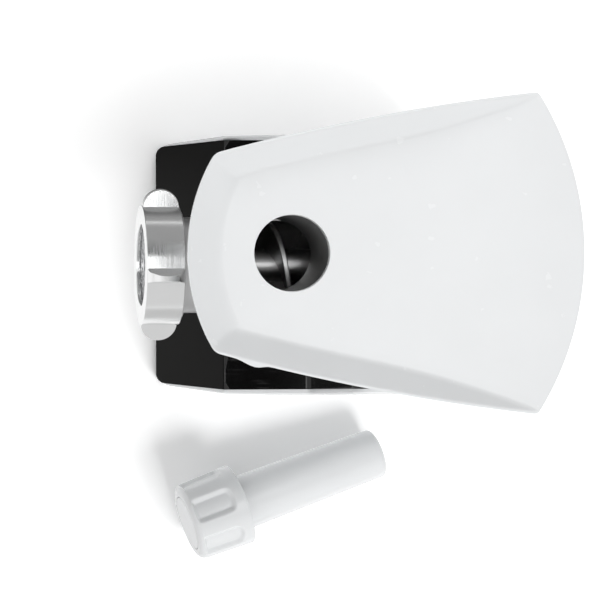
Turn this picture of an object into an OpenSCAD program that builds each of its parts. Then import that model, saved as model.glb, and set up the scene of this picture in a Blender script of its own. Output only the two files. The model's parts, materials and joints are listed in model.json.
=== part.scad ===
// Electric meat grinder with its meat tray and food pusher.
// Millimetres, +Z up. The origin is on the table, under the axis of the barrel (Y = 0) and level with the
// axis of the feed tube (X = 0). The outlet faces -X, so the machine's own left side is -Y.

/* [Housing] */
// Reach of the base in front of the feed tube
front_reach = 59.8; // [58:0.2:66]
// How far the front edge of the base bulges forward
front_bulge = 1.6; // [0.6:0.1:3]
// Reach of the housing behind the feed tube
rear_reach = 150; // [148:1:170]
// Reach of the crease between front panel and deck in front of the feed tube
crease_reach = 22.5; // [17:0.5:26]
// Height of the crease
crease_z = 100; // [98:0.5:103]
// Height of the deck at the foot of the tower
deck_z = 107; // [104:0.5:109]
// Distance from the feed tube's axis back to the foot of the tower
tower_x = 38; // [36:0.5:42]
// Backward lean of the tower's front over its height
tower_lean = 8; // [4:0.5:12]
// Height of the tower
tower_z = 214; // [204:1:215]
// Forward lean of the rear wall over its height
rear_lean = 11; // [8:0.5:16]
// Half width of the side shells at their belly
belly_half = 92.4; // [86:0.2:98]
// Height of the belly
belly_z = 50; // [40:1:70]
// How far a side shell draws in from its belly to the table
base_draw = 4; // [2:0.5:4]
// How far a side shell draws in from its belly to the top of the tower
tower_draw = 9.5; // [6:0.5:10]
// How far the belly stands out beside the dark band over front and deck
strip_w = 6; // [5.5:0.1:8]
// Width of a side shell beside the dark band at the top of the tower
strip_top_w = 3.2; // [2.5:0.1:6]
// Wall of the moulded housing
wall = 2.6; // [2:0.1:3.2]
// Open seam between two housing parts
seam = 0.2; // [0.1:0.05:0.4]
// Height of the rubber foot ring
foot_h = 3; // [2:0.5:5]
// Width of the rubber foot ring
foot_w = 8; // [6:0.5:12]
// Distance from the base plate's outline in to the foot ring
foot_inset = 7.6; // [7:0.2:12]
// Radius of the housing screws
screw_r = 1.9; // [1.5:0.1:2.2]

/* [Grinding head] */
// Height of the barrel's axis
barrel_z = 145; // [143:0.5:148]
// Outer radius of the barrel
barrel_r = 32; // [31.5:0.1:33]
// Bore radius of the barrel
barrel_bore_r = 29.8; // [29:0.1:30]
// Reach of the barrel's rim in front of the feed tube
barrel_reach = 81; // [79:0.5:84]
// Radius of the threaded front end
thread_r = 36; // [35.5:0.1:37]
// Outer radius of the feed tube
tube_r = 27; // [26:0.1:28]
// Bore radius of the feed tube
tube_bore_r = 24; // [22:0.1:24.5]
// Sideways offset of the feed tube from the barrel's axis
tube_y = 7.4; // [3:0.1:8]
// Height of the feed tube's rim
tube_z = 233.4; // [230:0.2:238]
// Radius of the hole plate
plate_r = 31; // [30.5:0.1:31.3]
// Thickness of the hole plate
plate_t = 5; // [4:0.5:6]
// Diameter of the holes in the plate
plate_hole_d = 4.5; // [3:0.1:4.5]
// Number of rings of holes in the plate
plate_rings = 4; // [2:1:4]
// Outer radius of the auger's flight
auger_r = 29.2; // [28:0.1:29.3]
// Core radius of the auger
auger_core_r = 11; // [9:0.5:14]
// Pitch of the auger's flight
auger_pitch = 34; // [28:1:44]
// Thickness of the cross knife
knife_t = 7; // [5:0.5:8]
// Outer radius of the screw ring
ring_r = 40; // [39.5:0.5:43]
// Length of the screw ring
ring_len = 25; // [22:0.5:28]
// Reach of the four ears beyond the screw ring's radius
ear_reach = 11; // [8:0.5:13]
// Thickness of an ear at its root
ear_root_t = 10.4; // [7:0.2:12]
// Thickness of an ear at its tip
ear_tip_t = 3.6; // [2.4:0.2:6]
// Angle by which the first ear stands off the top
ear_turn = 10.2; // [0:0.2:45]
// How far the head is pushed into its socket
socket_depth = 19; // [16:0.5:19.5]

/* [Meat tray] */
// Height of the tray's rim
tray_z = 250; // [246:0.5:256]
// Depth of the tray's dish
tray_depth = 14; // [10:0.5:15]
// Thickness of the tray
tray_t = 2.5; // [2:0.1:3]
// Reach of the front edge at its corners
tray_front = 51; // [48:1:56]
// Half width at the front corners
tray_front_half = 61.6; // [56:0.1:66]
// Bulge of the front edge
tray_front_bulge = 17; // [8:1:22]
// Reach of the rear corners behind the feed tube
tray_rear = 156.6; // [150:0.1:165]
// Half width at the rear corners
tray_rear_half = 102.5; // [95:0.1:108]
// Bulge of the rear edge
tray_rear_bulge = 31; // [20:1:36]
// Bulge of the long edges
tray_side_bulge = 4; // [2:0.5:6]

/* [Food pusher] */
// Place of the cap's closed end
pusher_x = -39.1; // [-50:0.1:-30]
// Sideways place of the cap's closed end
pusher_y = -187.5; // [-195:0.5:-183]
// Direction in which the stem points
pusher_turn = 18.2; // [14:0.1:20]
// Length of cap and stem together
pusher_len = 153.4; // [140:0.2:165]
// Length of the cap
cap_len = 41.4; // [40:0.2:52]
// Radius of the cap's closed end
cap_end_r = 28.1; // [26:0.1:29]
// Radius of the cap's open end
cap_mouth_r = 29.6; // [29:0.1:32]
// Radius of the stem at the cap
stem_r = 19.9; // [18:0.1:21]
// Radius of the stem at its tip
stem_tip_r = 18.2; // [17:0.1:19]

/* [Drive] */
// Height of the motor's axis
motor_z = 58; // [56:0.5:60]
// Radius of the motor shaft
shaft_r = 4; // [3.5:0.1:4.5]
// Radius of the armature
armature_r = 18.4; // [17:0.1:19]
// Length of the armature and of the stator's core
core_len = 28; // [24:1:28]
// Teeth of the motor pinion
teeth_motor = 14; // [14:1:16]
// Teeth of the first gear
teeth_first = 60; // [56:1:60]
// Teeth of the first gear's pinion
teeth_first_pinion = 12; // [12:1:13]
// Teeth of the second gear
teeth_second = 54; // [50:1:54]
// Teeth of the second gear's pinion
teeth_second_pinion = 12; // [12:1:13]
// Teeth of the output gear
teeth_output = 54; // [50:1:54]
// Module of the first pair
module_1 = 0.8; // [0.78:0.01:0.82]
// Module of the second pair
module_2 = 1; // [0.98:0.01:1.02]
// Module of the third pair
module_3 = 1.25; // [1.23:0.01:1.27]
// Radius of the gear axles
axle_r = 3; // [2.5:0.1:3.2]
// Radius of the output spindle
spindle_r = 9; // [8.5:0.1:9.5]
// Width across the flats of the drive hexagon
hex_af = 14; // [12:0.5:15]

/* [Controls] */
// Radius of the two front buttons
button_r = 9; // [8:0.1:9.5]
// Distance of a front button from the middle
button_y = 11; // [10.5:0.1:12]
// Height of the front buttons, measured up the front panel
button_up = 45; // [43:0.5:47]
// Travel of the front buttons
button_travel = 2.5; // [1.5:0.1:2.5]
// Radius of the release button
release_r = 11; // [9:0.5:12]
// Travel of the release button
release_travel = 4; // [3:0.1:4.2]

/* [Hidden] */
$fn = 64;

press = 0.01;       // clearance of parts pressed or bolted together
running = 0.04;     // radial clearance of a shaft in its bearing
loose = 0.4;        // clearance of moulded parts that slide
touch = 0.1;        // gap between two flat faces that meet when assembled
cut = 1;            // how far a cutter stands out of what it cuts

white = [0.93, 0.93, 0.93];
black = [0.03, 0.03, 0.03];
charcoal = [0.12, 0.12, 0.12];
metal = [0.72, 0.72, 0.73];
steel = [0.55, 0.56, 0.58];
brass = [0.78, 0.62, 0.32];
copper = [0.72, 0.38, 0.18];
nylon = [0.9, 0.88, 0.8];
rubber = [0.08, 0.08, 0.08];
board_green = [0.07, 0.3, 0.15];

// ---- Plane geometry -------------------------------------------------------------------------------

function unit(v) = v / norm(v);
function left_of(v) = [-v.y, v.x];
function cross2(a, b) = a.x * b.y - a.y * b.x;
function edge(pts, i) = unit(pts[(i + 1) % len(pts)] - pts[i]);
function edge_before(pts, i) = edge(pts, (i + len(pts) - 1) % len(pts));

// Corner i of an anticlockwise outline once all its edges have moved inwards by d
function corner(pts, i, d) =
    let (a = edge_before(pts, i), b = edge(pts, i))
    pts[i] + d * (left_of(a) + left_of(b)) / (1 + a * b);

// Arc of radius r in the corner at p between the directions a and b
function corner_arc(p, a, b, r, steps) =
    let (turn = atan2(cross2(a, b), a * b), s = sign(turn),
         centre = p - a * r * tan(abs(turn) / 2) + s * r * left_of(a),
         start = atan2(-s * left_of(a).y, -s * left_of(a).x))
    [for (k = [0:steps]) centre + r * [cos(start + turn * k / steps), sin(start + turn * k / steps)]];

// Outline with its edges moved inwards by d and its corners rounded, where radii says so
function rounded(pts, radii, d = 0, steps = 6) =
    [for (i = [0:len(pts) - 1])
        let (a = edge_before(pts, i), b = edge(pts, i), r = radii[i] - sign(cross2(a, b)) * d)
        each radii[i] == 0 || r < 0.1 ? [corner(pts, i, d)] : corner_arc(corner(pts, i, d), a, b, r, steps)];

// Points of an arc from p to q that bulges to the right by the given sagitta, without q itself
function arc_to(p, q, bulge, steps) =
    let (chord = q - p, half = norm(chord) / 2, r = (half * half + bulge * bulge) / (2 * bulge),
         out = -left_of(unit(chord)), centre = (p + q) / 2 - out * (r - bulge), sweep = asin(half / r))
    [for (k = [0:steps - 1]) let (t = -sweep + 2 * sweep * k / steps)
        centre + r * (cos(t) * out + sin(t) * unit(chord))];

// ---- Places shared by several parts ---------------------------------------------------------------

// Turns a shape drawn along +Z so that it runs along +X, with its own X along Y and its own Y along Z
module along_x(x, y = 0, z = 0) { translate([x, y, z]) rotate([90, 0, 90]) children(); }
module rod_x(x0, x1, r, y = 0, z = 0) { along_x(x0, y, z) cylinder(h = x1 - x0, r = r); }
module tube_x(x0, x1, r, bore, y = 0, z = 0) {
    difference() {
        rod_x(x0, x1, r, y, z);
        rod_x(x0 - cut, x1 + cut, bore, y, z);
    }
}
module block(low, high) { translate(low) cube(high - low); }
module both_sides() { children(); mirror([0, 1, 0]) children(); }

base_half = belly_half - base_draw;
tower_half = belly_half - tower_draw;
band_half = belly_half - strip_w;
band_top_half = tower_half - strip_top_w;

// Side view of the housing, X against Z, anticlockwise from the front foot
crease_i = 5;
tower_rear_x = rear_reach - rear_lean;
tower_front_x = tower_x + tower_lean;
tower_fall = 3;
side_pts = [[-front_reach, foot_h], [rear_reach, foot_h], [tower_rear_x, tower_z - tower_fall],
    [tower_front_x, tower_z], [tower_x, deck_z], [-crease_reach, crease_z]];
side_radii = [3, 4, 16, 10, 5, 2];
// Plan of the housing, X against Y, anticlockwise
plan_r = 9;
plan_flare = 1.5;
flare_end = tower_x + 22;
front_steps = 8;
plan_front = [front_bulge - front_reach, band_half + plan_flare];
plan_pts = concat(arc_to(plan_front, [plan_front.x, -plan_front.y], front_bulge, front_steps),
    [[plan_front.x, -plan_front.y], [flare_end, -belly_half - cut], [rear_reach + cut, -belly_half - cut],
    [rear_reach + cut, belly_half + cut], [flare_end, belly_half + cut]]);
plan_radii = concat([plan_r], [for (k = [2:front_steps]) 0], [plan_r, 60, 12, 12, 60]);
plan_curve = 1.5;   // how fast the side draws in above its belly
belly_steps = 12;

function half_at(z) = z < belly_z
    ? belly_half - (belly_half - base_half) * pow((belly_z - z) / (belly_z - foot_h), 2)
    : belly_half - (belly_half - tower_half) * pow((z - belly_z) / (tower_z - belly_z), plan_curve);
function band_at(z) = band_half + (band_top_half - band_half) * max(0, z - deck_z) / (tower_z - deck_z);

// Whole volume of the housing with every wall moved inwards by d
module housing_form(d = 0) {
    levels = [for (k = [0:belly_steps]) foot_h + (tower_z - foot_h) * k / belly_steps];
    side = [for (z = levels) [half_at(z) - d, z]];
    top = [[half_at(tower_z) - d, tower_z + cut]];
    right = concat(side, top);
    intersection() {
        translate([0, belly_half + cut, 0]) rotate([90, 0, 0])
            linear_extrude(2 * (belly_half + cut)) polygon(rounded(side_pts, side_radii, d));
        along_x(-front_reach - cut) linear_extrude(front_reach + rear_reach + 2 * cut)
            polygon(concat(right, [for (k = [len(right) - 1:-1:0]) [-right[k].x, right[k].y]]));
        linear_extrude(tower_z + cut) polygon(rounded(plan_pts, plan_radii, d));
    }
}

// The middle of the housing, between the two side shells
module band_form(gap = 0) {
    z_end = tower_z + cut;
    z_low = foot_h - cut;
    pts = [[band_half + gap, z_low], [band_half + gap, deck_z], [band_at(z_end) + gap, z_end]];
    along_x(-front_reach - cut) linear_extrude(front_reach + rear_reach + 2 * cut)
        polygon(concat(pts, [for (k = [2:-1:0]) [-pts[k].x, pts[k].y]]));
}

// The strip of wall in the middle of the housing, cut to a region drawn in the side view
far = 300;
inner_foot = corner(side_pts, 0, wall);
inner_heel = corner(side_pts, 1, wall);
inner_crease = corner(side_pts, crease_i, wall);
rear_cover_z = 184;
inside = [100, 60];     // a point of the side view well inside the hollow housing
module band_strip(region) {
    intersection() {
        translate([0, belly_half, 0]) rotate([90, 0, 0]) linear_extrude(2 * belly_half)
            intersection() {
                difference() {
                    polygon(rounded(side_pts, side_radii));
                    polygon(rounded(side_pts, side_radii, wall));
                }
                polygon(region);
            }
        band_form();
        linear_extrude(tower_z + cut) polygon(rounded(plan_pts, plan_radii));
    }
}

// A frame on the front panel: origin on its outer face, +X inwards, +Z up the slope
front_angle = atan((front_reach - crease_reach) / (crease_z - foot_h));
module on_front(up, y = 0) {
    translate([-front_reach + up * sin(front_angle), y, foot_h + up * cos(front_angle)])
        rotate([0, front_angle, 0]) children();
}
// A frame on the rear wall: origin on its outer face, +X outwards, +Z up the wall
rear_angle = atan(rear_lean / (tower_z - tower_fall - foot_h));
module on_rear(up, y = 0) {
    translate([rear_reach - up * sin(rear_angle), y, foot_h + up * cos(rear_angle)])
        rotate([0, -rear_angle, 0]) children();
}
module rod_in(x0, x1, r) { rotate([0, 90, 0]) translate([0, 0, x0]) cylinder(h = x1 - x0, r = r); }

// Where the housing is screwed together, from below
boss_xs = [-38, 50, 132];
boss_y = band_half - 3.1;
boss_r = 4.6;
boss_z = foot_h + wall + seam;
boss_top = 30;

// Head and socket along the barrel's axis
socket_x = tower_x - 2;
socket_ring_r = 37;
socket_flange_r = 41;
barrel_end = tower_x + socket_depth;
gearbox_x = 60;
socket_play = 0.3;

// ---- Drive train ------------------------------------------------------------------------------------

pressure = 25;
function pitch_r(teeth, m) = teeth * m / 2;
function tip_r(teeth, m) = pitch_r(teeth, m) + 0.9 * m;
function root_r(teeth, m) = pitch_r(teeth, m) - 1.15 * m;
function involute(a) = tan(a) * 180 / PI - a;
backlash = 0.12;    // circumferential play of a tooth at the pitch circle

// Half the angle that a tooth spans at radius r
function tooth_half(teeth, m, r) =
    let (rp = pitch_r(teeth, m), base = rp * cos(pressure))
    90 / teeth - backlash / 2 / rp * 180 / PI + involute(pressure) - involute(acos(min(1, base / r)));

function gear_outline(teeth, m, turn) =
    let (base = pitch_r(teeth, m) * cos(pressure), low = max(base, root_r(teeth, m)), high = tip_r(teeth, m),
         flank = [for (k = [0:3]) low + (high - low) * k / 3])
    [for (i = [0:teeth - 1]) let (mid = turn + 360 * i / teeth)
        each concat(
            [[root_r(teeth, m), mid - tooth_half(teeth, m, low) - 0.3 / teeth]],
            [for (r = flank) [r, mid - tooth_half(teeth, m, r)]],
            [for (k = [3:-1:0]) [flank[k], mid + tooth_half(teeth, m, flank[k])]],
            [[root_r(teeth, m), mid + tooth_half(teeth, m, low) + 0.3 / teeth]])];
module gear_flat(teeth, m, turn) {
    polygon([for (p = gear_outline(teeth, m, turn)) p.x * [cos(p.y), sin(p.y)]]);
}

// Centre distances, and the three gear centres as a zigzag from the motor up to the barrel's axis
reach_1 = pitch_r(teeth_motor + teeth_first, module_1);
reach_2 = pitch_r(teeth_first_pinion + teeth_second, module_2);
reach_3 = pitch_r(teeth_second_pinion + teeth_output, module_3);
motor_at = [0, motor_z];
output_at = [0, barrel_z];
first_lean = 40;
first_at = motor_at + reach_1 * [sin(first_lean), cos(first_lean)];
to_output = output_at - first_at;
bend = acos((reach_2 * reach_2 + to_output * to_output - reach_3 * reach_3)
    / (2 * reach_2 * norm(to_output)));
aim_2 = atan2(to_output.y, to_output.x) + bend;
second_at = first_at + reach_2 * [cos(aim_2), sin(aim_2)];
aim_1 = 90 - first_lean;
aim_3 = atan2(output_at.y - second_at.y, output_at.x - second_at.x);

// Turn of a gear that meshes with a driver of the given turn, lying in direction aim from it
function mesh_turn(aim, teeth_a, turn_a, teeth_b) =
    aim + 180 - teeth_a / teeth_b * (turn_a - aim) + 180 / teeth_b;
turn_first = mesh_turn(aim_1, teeth_motor, 0, teeth_first);
turn_second = mesh_turn(aim_2, teeth_first_pinion, 0, teeth_second);
turn_output = mesh_turn(aim_3, teeth_second_pinion, 0, teeth_output);

// Stations along X
mount_wall = 4;
layer_1 = [gearbox_x + 8, gearbox_x + 16];
layer_2 = [gearbox_x + 18, gearbox_x + 28];
layer_3 = [gearbox_x + 30, gearbox_x + 42];
cover_x = layer_3.y + 2;
cover_t = 3;
cover_end = cover_x + cover_t;
bush_len = 8;
bush_r = 12;
hub_r = 5.8;
gearbox_wall = 3;
gear_room = 1.2;
lug_r = 5;
lug_places = [[-39.8, 78], [-41.5, 132], [0, 186.5], [46, 112], [19, 25]];
case_circles = [[motor_at, 33], [first_at, tip_r(teeth_first, module_1) + gear_room],
    [output_at, tip_r(teeth_output, module_3) + gear_room]];

// Motor, from its front bracket back to the gearbox
core_x = 15;
core_end = core_x + core_len;
bracket_x = -8;
bracket_t = 4;
bracket_half = 33.5;
bracket_high = 14;
bearing_r = 9.5;
bearing_len = 6;
coil_in = 21;
coil_out = 28;
coil_over = 6.5;
coil_from = 30;
coil_side = 18;
coil_gap = 0.25;
air_gap = 0.8;
stator_half = [34, 30];
stator_r = 38;
post_at = [30.5, 11];
post_r = 3;
bolt_r = 1.5;
fan_r = 27.5;
fan_x = 51;
fan_len = 8;
commutator_r = 10;
commutator_x = -3;
commutator_len = 10;
brush_x = 2;
brush_gap = 0.1;

module at_posts() {
    for (y = [-1, 1], z = [-1, 1]) translate([0, y * post_at.x, motor_z + z * post_at.y]) children();
}
// Sector of a ring about the motor's axis, from angle a0 to a1 in the YZ plane
module sector_x(x0, x1, r0, r1, a0, a1) {
    along_x(x0, 0, motor_z) rotate([0, 0, a0]) rotate_extrude(angle = a1 - a0)
        translate([r0, 0]) square([r1 - r0, x1 - x0]);
}

// ---- Housing ----------------------------------------------------------------------------------------

base_pts = [[inner_foot.x + seam, -band_half + seam], [inner_heel.x - seam, -band_half + seam],
    [inner_heel.x - seam, band_half - seam], [inner_foot.x + seam, band_half - seam]];
module base_plate() {
    slot = [50, 3];
    color(charcoal) {
        difference() {
            translate([0, 0, foot_h]) linear_extrude(wall) polygon(rounded(base_pts, [6, 2, 2, 6]));
            for (x = boss_xs) both_sides() translate([x, boss_y, 0])
                cylinder(h = boss_z + cut, r = screw_r + seam);
            for (k = [0:7]) block([core_x - 20 + 9 * k, -slot.x / 2, foot_h - cut],
                [core_x - 20 + 9 * k + slot.y, slot.x / 2, foot_h + wall + cut]);
        }
        // rail that holds the circuit board
        block([board_x - 3, -board_half, foot_h + wall], [board_x + 5, board_half, board_z0]);
    }
}

module foot_ring() {
    corner_r = 12;
    radii = [for (k = [0:3]) foot_inset + corner_r];
    color(rubber) linear_extrude(foot_h) difference() {
        polygon(rounded(base_pts, radii, foot_inset));
        polygon(rounded(base_pts, radii, foot_inset + foot_w));
    }
}

// One side shell, drawn for +Y
module side_shell() {
    difference() {
        union() {
            difference() {
                housing_form();
                housing_form(wall);
                band_form(seam);
                block([-far, -far, -far], [far, 0, far]);
            }
            for (x = boss_xs) translate([x, boss_y, boss_z]) cylinder(h = boss_top - boss_z, r = boss_r);
        }
        for (x = boss_xs) translate([x, boss_y, boss_z - cut])
            cylinder(h = boss_top - boss_z - 2, r = screw_r + press);
    }
}
module left_shell() { color(white) mirror([0, 1, 0]) side_shell(); }
module right_shell() {
    color(white) difference() {
        side_shell();
        along_release(release_stem, far, release_x) circle(release_r + loose);
    }
}

module front_panel() {
    color(charcoal) {
        difference() {
            band_strip([[-far, 0], [inner_foot.x, 0], inner_foot, inner_crease,
                inner_crease + far * unit(side_pts[crease_i] - inner_crease), [-far, crease_z]]);
            for (y = [-button_y, button_y]) on_front(button_up, y) rod_in(-cut, wall + cut, button_r + loose);
        }
        // pillars that carry the switch block
        both_sides() on_front(button_up, pillar_y) rod_in(wall / 2, switch_x, pillar_r);
    }
}
pillar_y = 25;
pillar_r = 2.6;
flange_over = 1.2;
button_proud = 3;
button_end = wall + 3.4;
switch_x = button_end + button_travel + 0.3;

module top_cover() {
    color(black) difference() {
        band_strip([inner_crease, inner_crease + far * unit(side_pts[crease_i] - inner_crease), [-far, far],
            [far, far], [far, rear_cover_z], [inside.x, rear_cover_z], inside, [inner_crease.x, inside.y]]);
        rod_x(0, inside.x, socket_flange_r + seam, 0, barrel_z);
    }
}

module rear_cover() {
    color(white) difference() {
        band_strip([[inner_heel.x, 0], [far, 0], [far, rear_cover_z - seam],
            [inside.x, rear_cover_z - seam], inner_heel]);
        on_rear(grille_up) translate([-wall - cut, -grille[0] / 2 - seam, -grille[1] / 2 - seam])
            cube([wall + 2 * cut, grille[0] + 2 * seam, grille[1] + 2 * seam]);
        on_rear(gland_up, gland_y) rod_in(-wall - cut, cut, gland_r + seam);
    }
}

grille = [84, 46];
grille_up = 130;
grille_bars = 9;
grille_lip = 4;
module vent_grille() {
    pitch = (grille[1] - grille_lip) / grille_bars;
    color(charcoal) on_rear(grille_up) difference() {
        translate([-wall, -grille[0] / 2, -grille[1] / 2]) cube([wall, grille[0], grille[1]]);
        for (k = [0:grille_bars - 1])
            translate([-wall - cut, -grille[0] / 2 + grille_lip, -grille[1] / 2 + grille_lip + pitch * k])
                cube([wall + 2 * cut, grille[0] - 2 * grille_lip, pitch - grille_lip / 2]);
    }
}

gland_up = 20;
gland_y = 34.3 - band_half;
gland_r = 8;
gland_bore_r = 3.6;
gland_in = 8;
gland_out = 3;
module cable_gland() {
    color(rubber) on_rear(gland_up, gland_y) difference() {
        union() {
            rod_in(-gland_in, gland_out, gland_r);
            rod_in(touch / 2, gland_out, gland_r + 2);
            rod_in(-gland_in, -wall - touch / 2, gland_r + 2);
        }
        rod_in(-gland_in - cut, gland_out + cut, gland_bore_r);
    }
}

module housing_screws() {
    color(steel) for (x = boss_xs) both_sides() translate([x, boss_y, 0]) {
        translate([0, 0, foot_h - 1.6]) cylinder(h = 1.6, r = screw_r + 1.6);
        translate([0, 0, foot_h]) cylinder(h = boss_top - foot_h - 8, r = screw_r);
    }
}

bezel_r = 14;
bezel_t = 1.2;
module button_bezel() {
    color(white) on_front(button_up) difference() {
        translate([-press, 0, 0]) rotate([0, -90, 0]) linear_extrude(bezel_t)
            hull() both_sides() translate([0, button_y]) circle(bezel_r);
        both_sides() translate([0, button_y, 0]) rod_in(-bezel_t - cut, cut, button_r + loose);
    }
}

module socket_ring() {
    key = 6;
    color(charcoal) difference() {
        union() {
            rod_x(socket_x, gearbox_x, socket_ring_r, 0, barrel_z);
            rod_x(socket_x, socket_x + 9, socket_flange_r, 0, barrel_z);
        }
        rod_x(socket_x - cut, gearbox_x + cut, barrel_r + socket_play, 0, barrel_z);
        // groove for the barrel's key, and window for the latch tooth
        block([socket_x - cut, -key / 2 - socket_play, barrel_z],
            [gearbox_x - 1, key / 2 + socket_play, barrel_z + barrel_r + 2.2]);
        block([yoke_x - loose, -far, barrel_z - tooth_half_w - loose],
            [yoke_x + yoke_t + loose, 0, barrel_z + tooth_half_w + loose]);
    }
}

// ---- Gearbox ----------------------------------------------------------------------------------------

leg_y = 12;
leg_w = 10;
module case_flat(grow) {
    hull() for (c = case_circles) translate(c[0]) circle(c[1] + grow, $fn = 48);
    for (p = lug_places) translate(p) circle(grow > 0 ? lug_r : 0.1);
}
module gearbox_housing() {
    floor_x = gearbox_x + mount_wall;
    color(metal) difference() {
        union() {
            along_x(gearbox_x) linear_extrude(cover_x - gearbox_x) case_flat(gearbox_wall);
            both_sides() block([gearbox_x, leg_y, foot_h + wall], [cover_x, leg_y + leg_w, motor_z]);
            at_posts() rod_x(core_end + touch, gearbox_x + cut, post_r);
        }
        difference() {
            along_x(floor_x) linear_extrude(cover_x)
                hull() for (c = case_circles) translate(c[0]) circle(c[1], $fn = 48);
            rod_x(gearbox_x, gearbox_x + bush_len, bush_r + 3, 0, barrel_z);
            rod_x(gearbox_x, gearbox_x + bearing_len, bearing_r + 2.5, 0, motor_z);
        }
        rod_x(gearbox_x - cut, cover_x, bush_r + press, 0, barrel_z);
        rod_x(gearbox_x - cut, cover_x, bearing_r + press, 0, motor_z);
        for (p = [first_at, second_at]) rod_x(gearbox_x - cut, cover_x, axle_r + press, p.x, p.y);
        for (p = lug_places) rod_x(cover_x - 14, cover_x + cut, bolt_r + press, p.x, p.y);
        at_posts() rod_x(0, gearbox_x + mount_wall + cut, bolt_r + press);
    }
}
module gearbox_cover() {
    color(metal) difference() {
        union() {
            along_x(cover_x) linear_extrude(cover_t) case_flat(gearbox_wall);
            rod_x(cover_x, cover_x + bush_len, bush_r + 3, 0, barrel_z);
        }
        rod_x(0, far, bush_r + press, 0, barrel_z);
        for (p = [first_at, second_at]) rod_x(0, far, axle_r + press, p.x, p.y);
        for (p = lug_places) rod_x(0, far, bolt_r + press, p.x, p.y);
    }
}
module gearbox_screws() {
    color(steel) for (p = lug_places) {
        rod_x(cover_end - 14, cover_end, bolt_r, p.x, p.y);
        rod_x(cover_end, cover_end + 2, lug_r - 2, p.x, p.y);
    }
}
module gear_axles() {
    color(steel) for (p = [first_at, second_at]) rod_x(gearbox_x, cover_end, axle_r, p.x, p.y);
}
module spindle_bushes() {
    color(brass) for (x = [gearbox_x, cover_x])
        tube_x(x, x + bush_len, bush_r, spindle_r + running, 0, barrel_z);
}
module spindle_seal() {
    color(rubber) tube_x(gearbox_x - 2, gearbox_x, bush_r + 4, spindle_r + running, 0, barrel_z);
}

module first_gear() {
    color(nylon) difference() {
        along_x(layer_1[0], first_at.x, first_at.y) linear_extrude(layer_1[1] - layer_1[0])
            gear_flat(teeth_first, module_1, turn_first);
        rod_x(0, far, hub_r + press, first_at.x, first_at.y);
    }
}
module first_pinion() {
    color(steel) difference() {
        union() {
            rod_x(gearbox_x + mount_wall + touch, layer_2[0], hub_r, first_at.x, first_at.y);
            along_x(layer_2[0], first_at.x, first_at.y) linear_extrude(layer_2[1] - layer_2[0])
                gear_flat(teeth_first_pinion, module_2, 0);
            rod_x(layer_2[1], cover_x - touch, axle_r + 1.8, first_at.x, first_at.y);
        }
        rod_x(0, far, axle_r + running, first_at.x, first_at.y);
    }
}
module second_gear() {
    color(steel) difference() {
        along_x(layer_2[0], second_at.x, second_at.y) linear_extrude(layer_2[1] - layer_2[0])
            gear_flat(teeth_second, module_2, turn_second);
        rod_x(0, far, hub_r + press, second_at.x, second_at.y);
    }
}
module second_pinion() {
    color(steel) difference() {
        union() {
            rod_x(gearbox_x + mount_wall + touch, layer_3[0], hub_r, second_at.x, second_at.y);
            along_x(layer_3[0], second_at.x, second_at.y) linear_extrude(layer_3[1] - layer_3[0])
                gear_flat(teeth_second_pinion, module_3, 0);
            rod_x(layer_3[1], cover_x - touch, axle_r + 1.8, second_at.x, second_at.y);
        }
        rod_x(0, far, axle_r + running, second_at.x, second_at.y);
    }
}
module output_gear() {
    holes = 6;
    hole_r = 5;
    hole_at = 21;
    color(steel) difference() {
        along_x(layer_3[0], output_at.x, output_at.y) linear_extrude(layer_3[1] - layer_3[0])
            gear_flat(teeth_output, module_3, turn_output);
        rod_x(0, far, spindle_r + press, 0, barrel_z);
        for (a = [0:360 / holes:359]) rod_x(0, far, hole_r, hole_at * cos(a), barrel_z + hole_at * sin(a));
    }
}
hex_x = tower_x + 6;
hex_depth = 13;
module output_spindle() {
    color(steel) difference() {
        union() {
            rod_x(hex_x, gearbox_x - 2.4, spindle_r + 2, 0, barrel_z);
            rod_x(gearbox_x - 2.4, cover_x + bush_len, spindle_r, 0, barrel_z);
        }
        rod_hex(hex_x - cut, hex_x + hex_depth, hex_af);
    }
}
module rod_hex(x0, x1, af) { along_x(x0, 0, barrel_z) cylinder(h = x1 - x0, r = af / 2 / cos(30), $fn = 6); }

// ---- Motor ------------------------------------------------------------------------------------------

module motor_bracket() {
    color(metal) difference() {
        union() {
            block([bracket_x, -bracket_half, motor_z - bracket_high],
                [bracket_x + bracket_t, bracket_half, motor_z + bracket_high]);
            rod_x(bracket_x - 4, bracket_x + bracket_t, bearing_r + 3, 0, motor_z);
            at_posts() rod_x(bracket_x, core_x - touch, post_r);
        }
        rod_x(bracket_x - 3, bracket_x + bracket_t + cut, bearing_r + press, 0, motor_z);
        rod_x(bracket_x - 5, bracket_x, shaft_r + 1, 0, motor_z);
        at_posts() rod_x(bracket_x - cut, core_x + cut, bolt_r + press);
    }
}
module motor_bolts() {
    color(steel) at_posts() {
        rod_x(bracket_x, gearbox_x + mount_wall, bolt_r);
        rod_x(bracket_x - 2, bracket_x, bolt_r + 1.2);
    }
}
module motor_bearings() {
    color(steel) for (x = [bracket_x - 3 + touch, gearbox_x])
        tube_x(x, x + bearing_len, bearing_r, shaft_r + running, 0, motor_z);
}
module stator_core() {
    color(steel) difference() {
        intersection() {
            rod_x(core_x, core_end, stator_r, 0, motor_z);
            block([core_x, -stator_half.x, motor_z - stator_half.y],
                [core_end, stator_half.x, motor_z + stator_half.y]);
        }
        rod_x(0, far, armature_r + air_gap, 0, motor_z);
        for (a = [coil_from, 180 - coil_from - coil_side, 180 + coil_from, 360 - coil_from - coil_side])
            sector_x(core_x - cut, core_end + cut, coil_in - coil_gap, coil_out + coil_gap,
                a - 1, a + coil_side + 1);
        at_posts() rod_x(core_x - cut, core_end + cut, bolt_r + press);
    }
}
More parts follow.
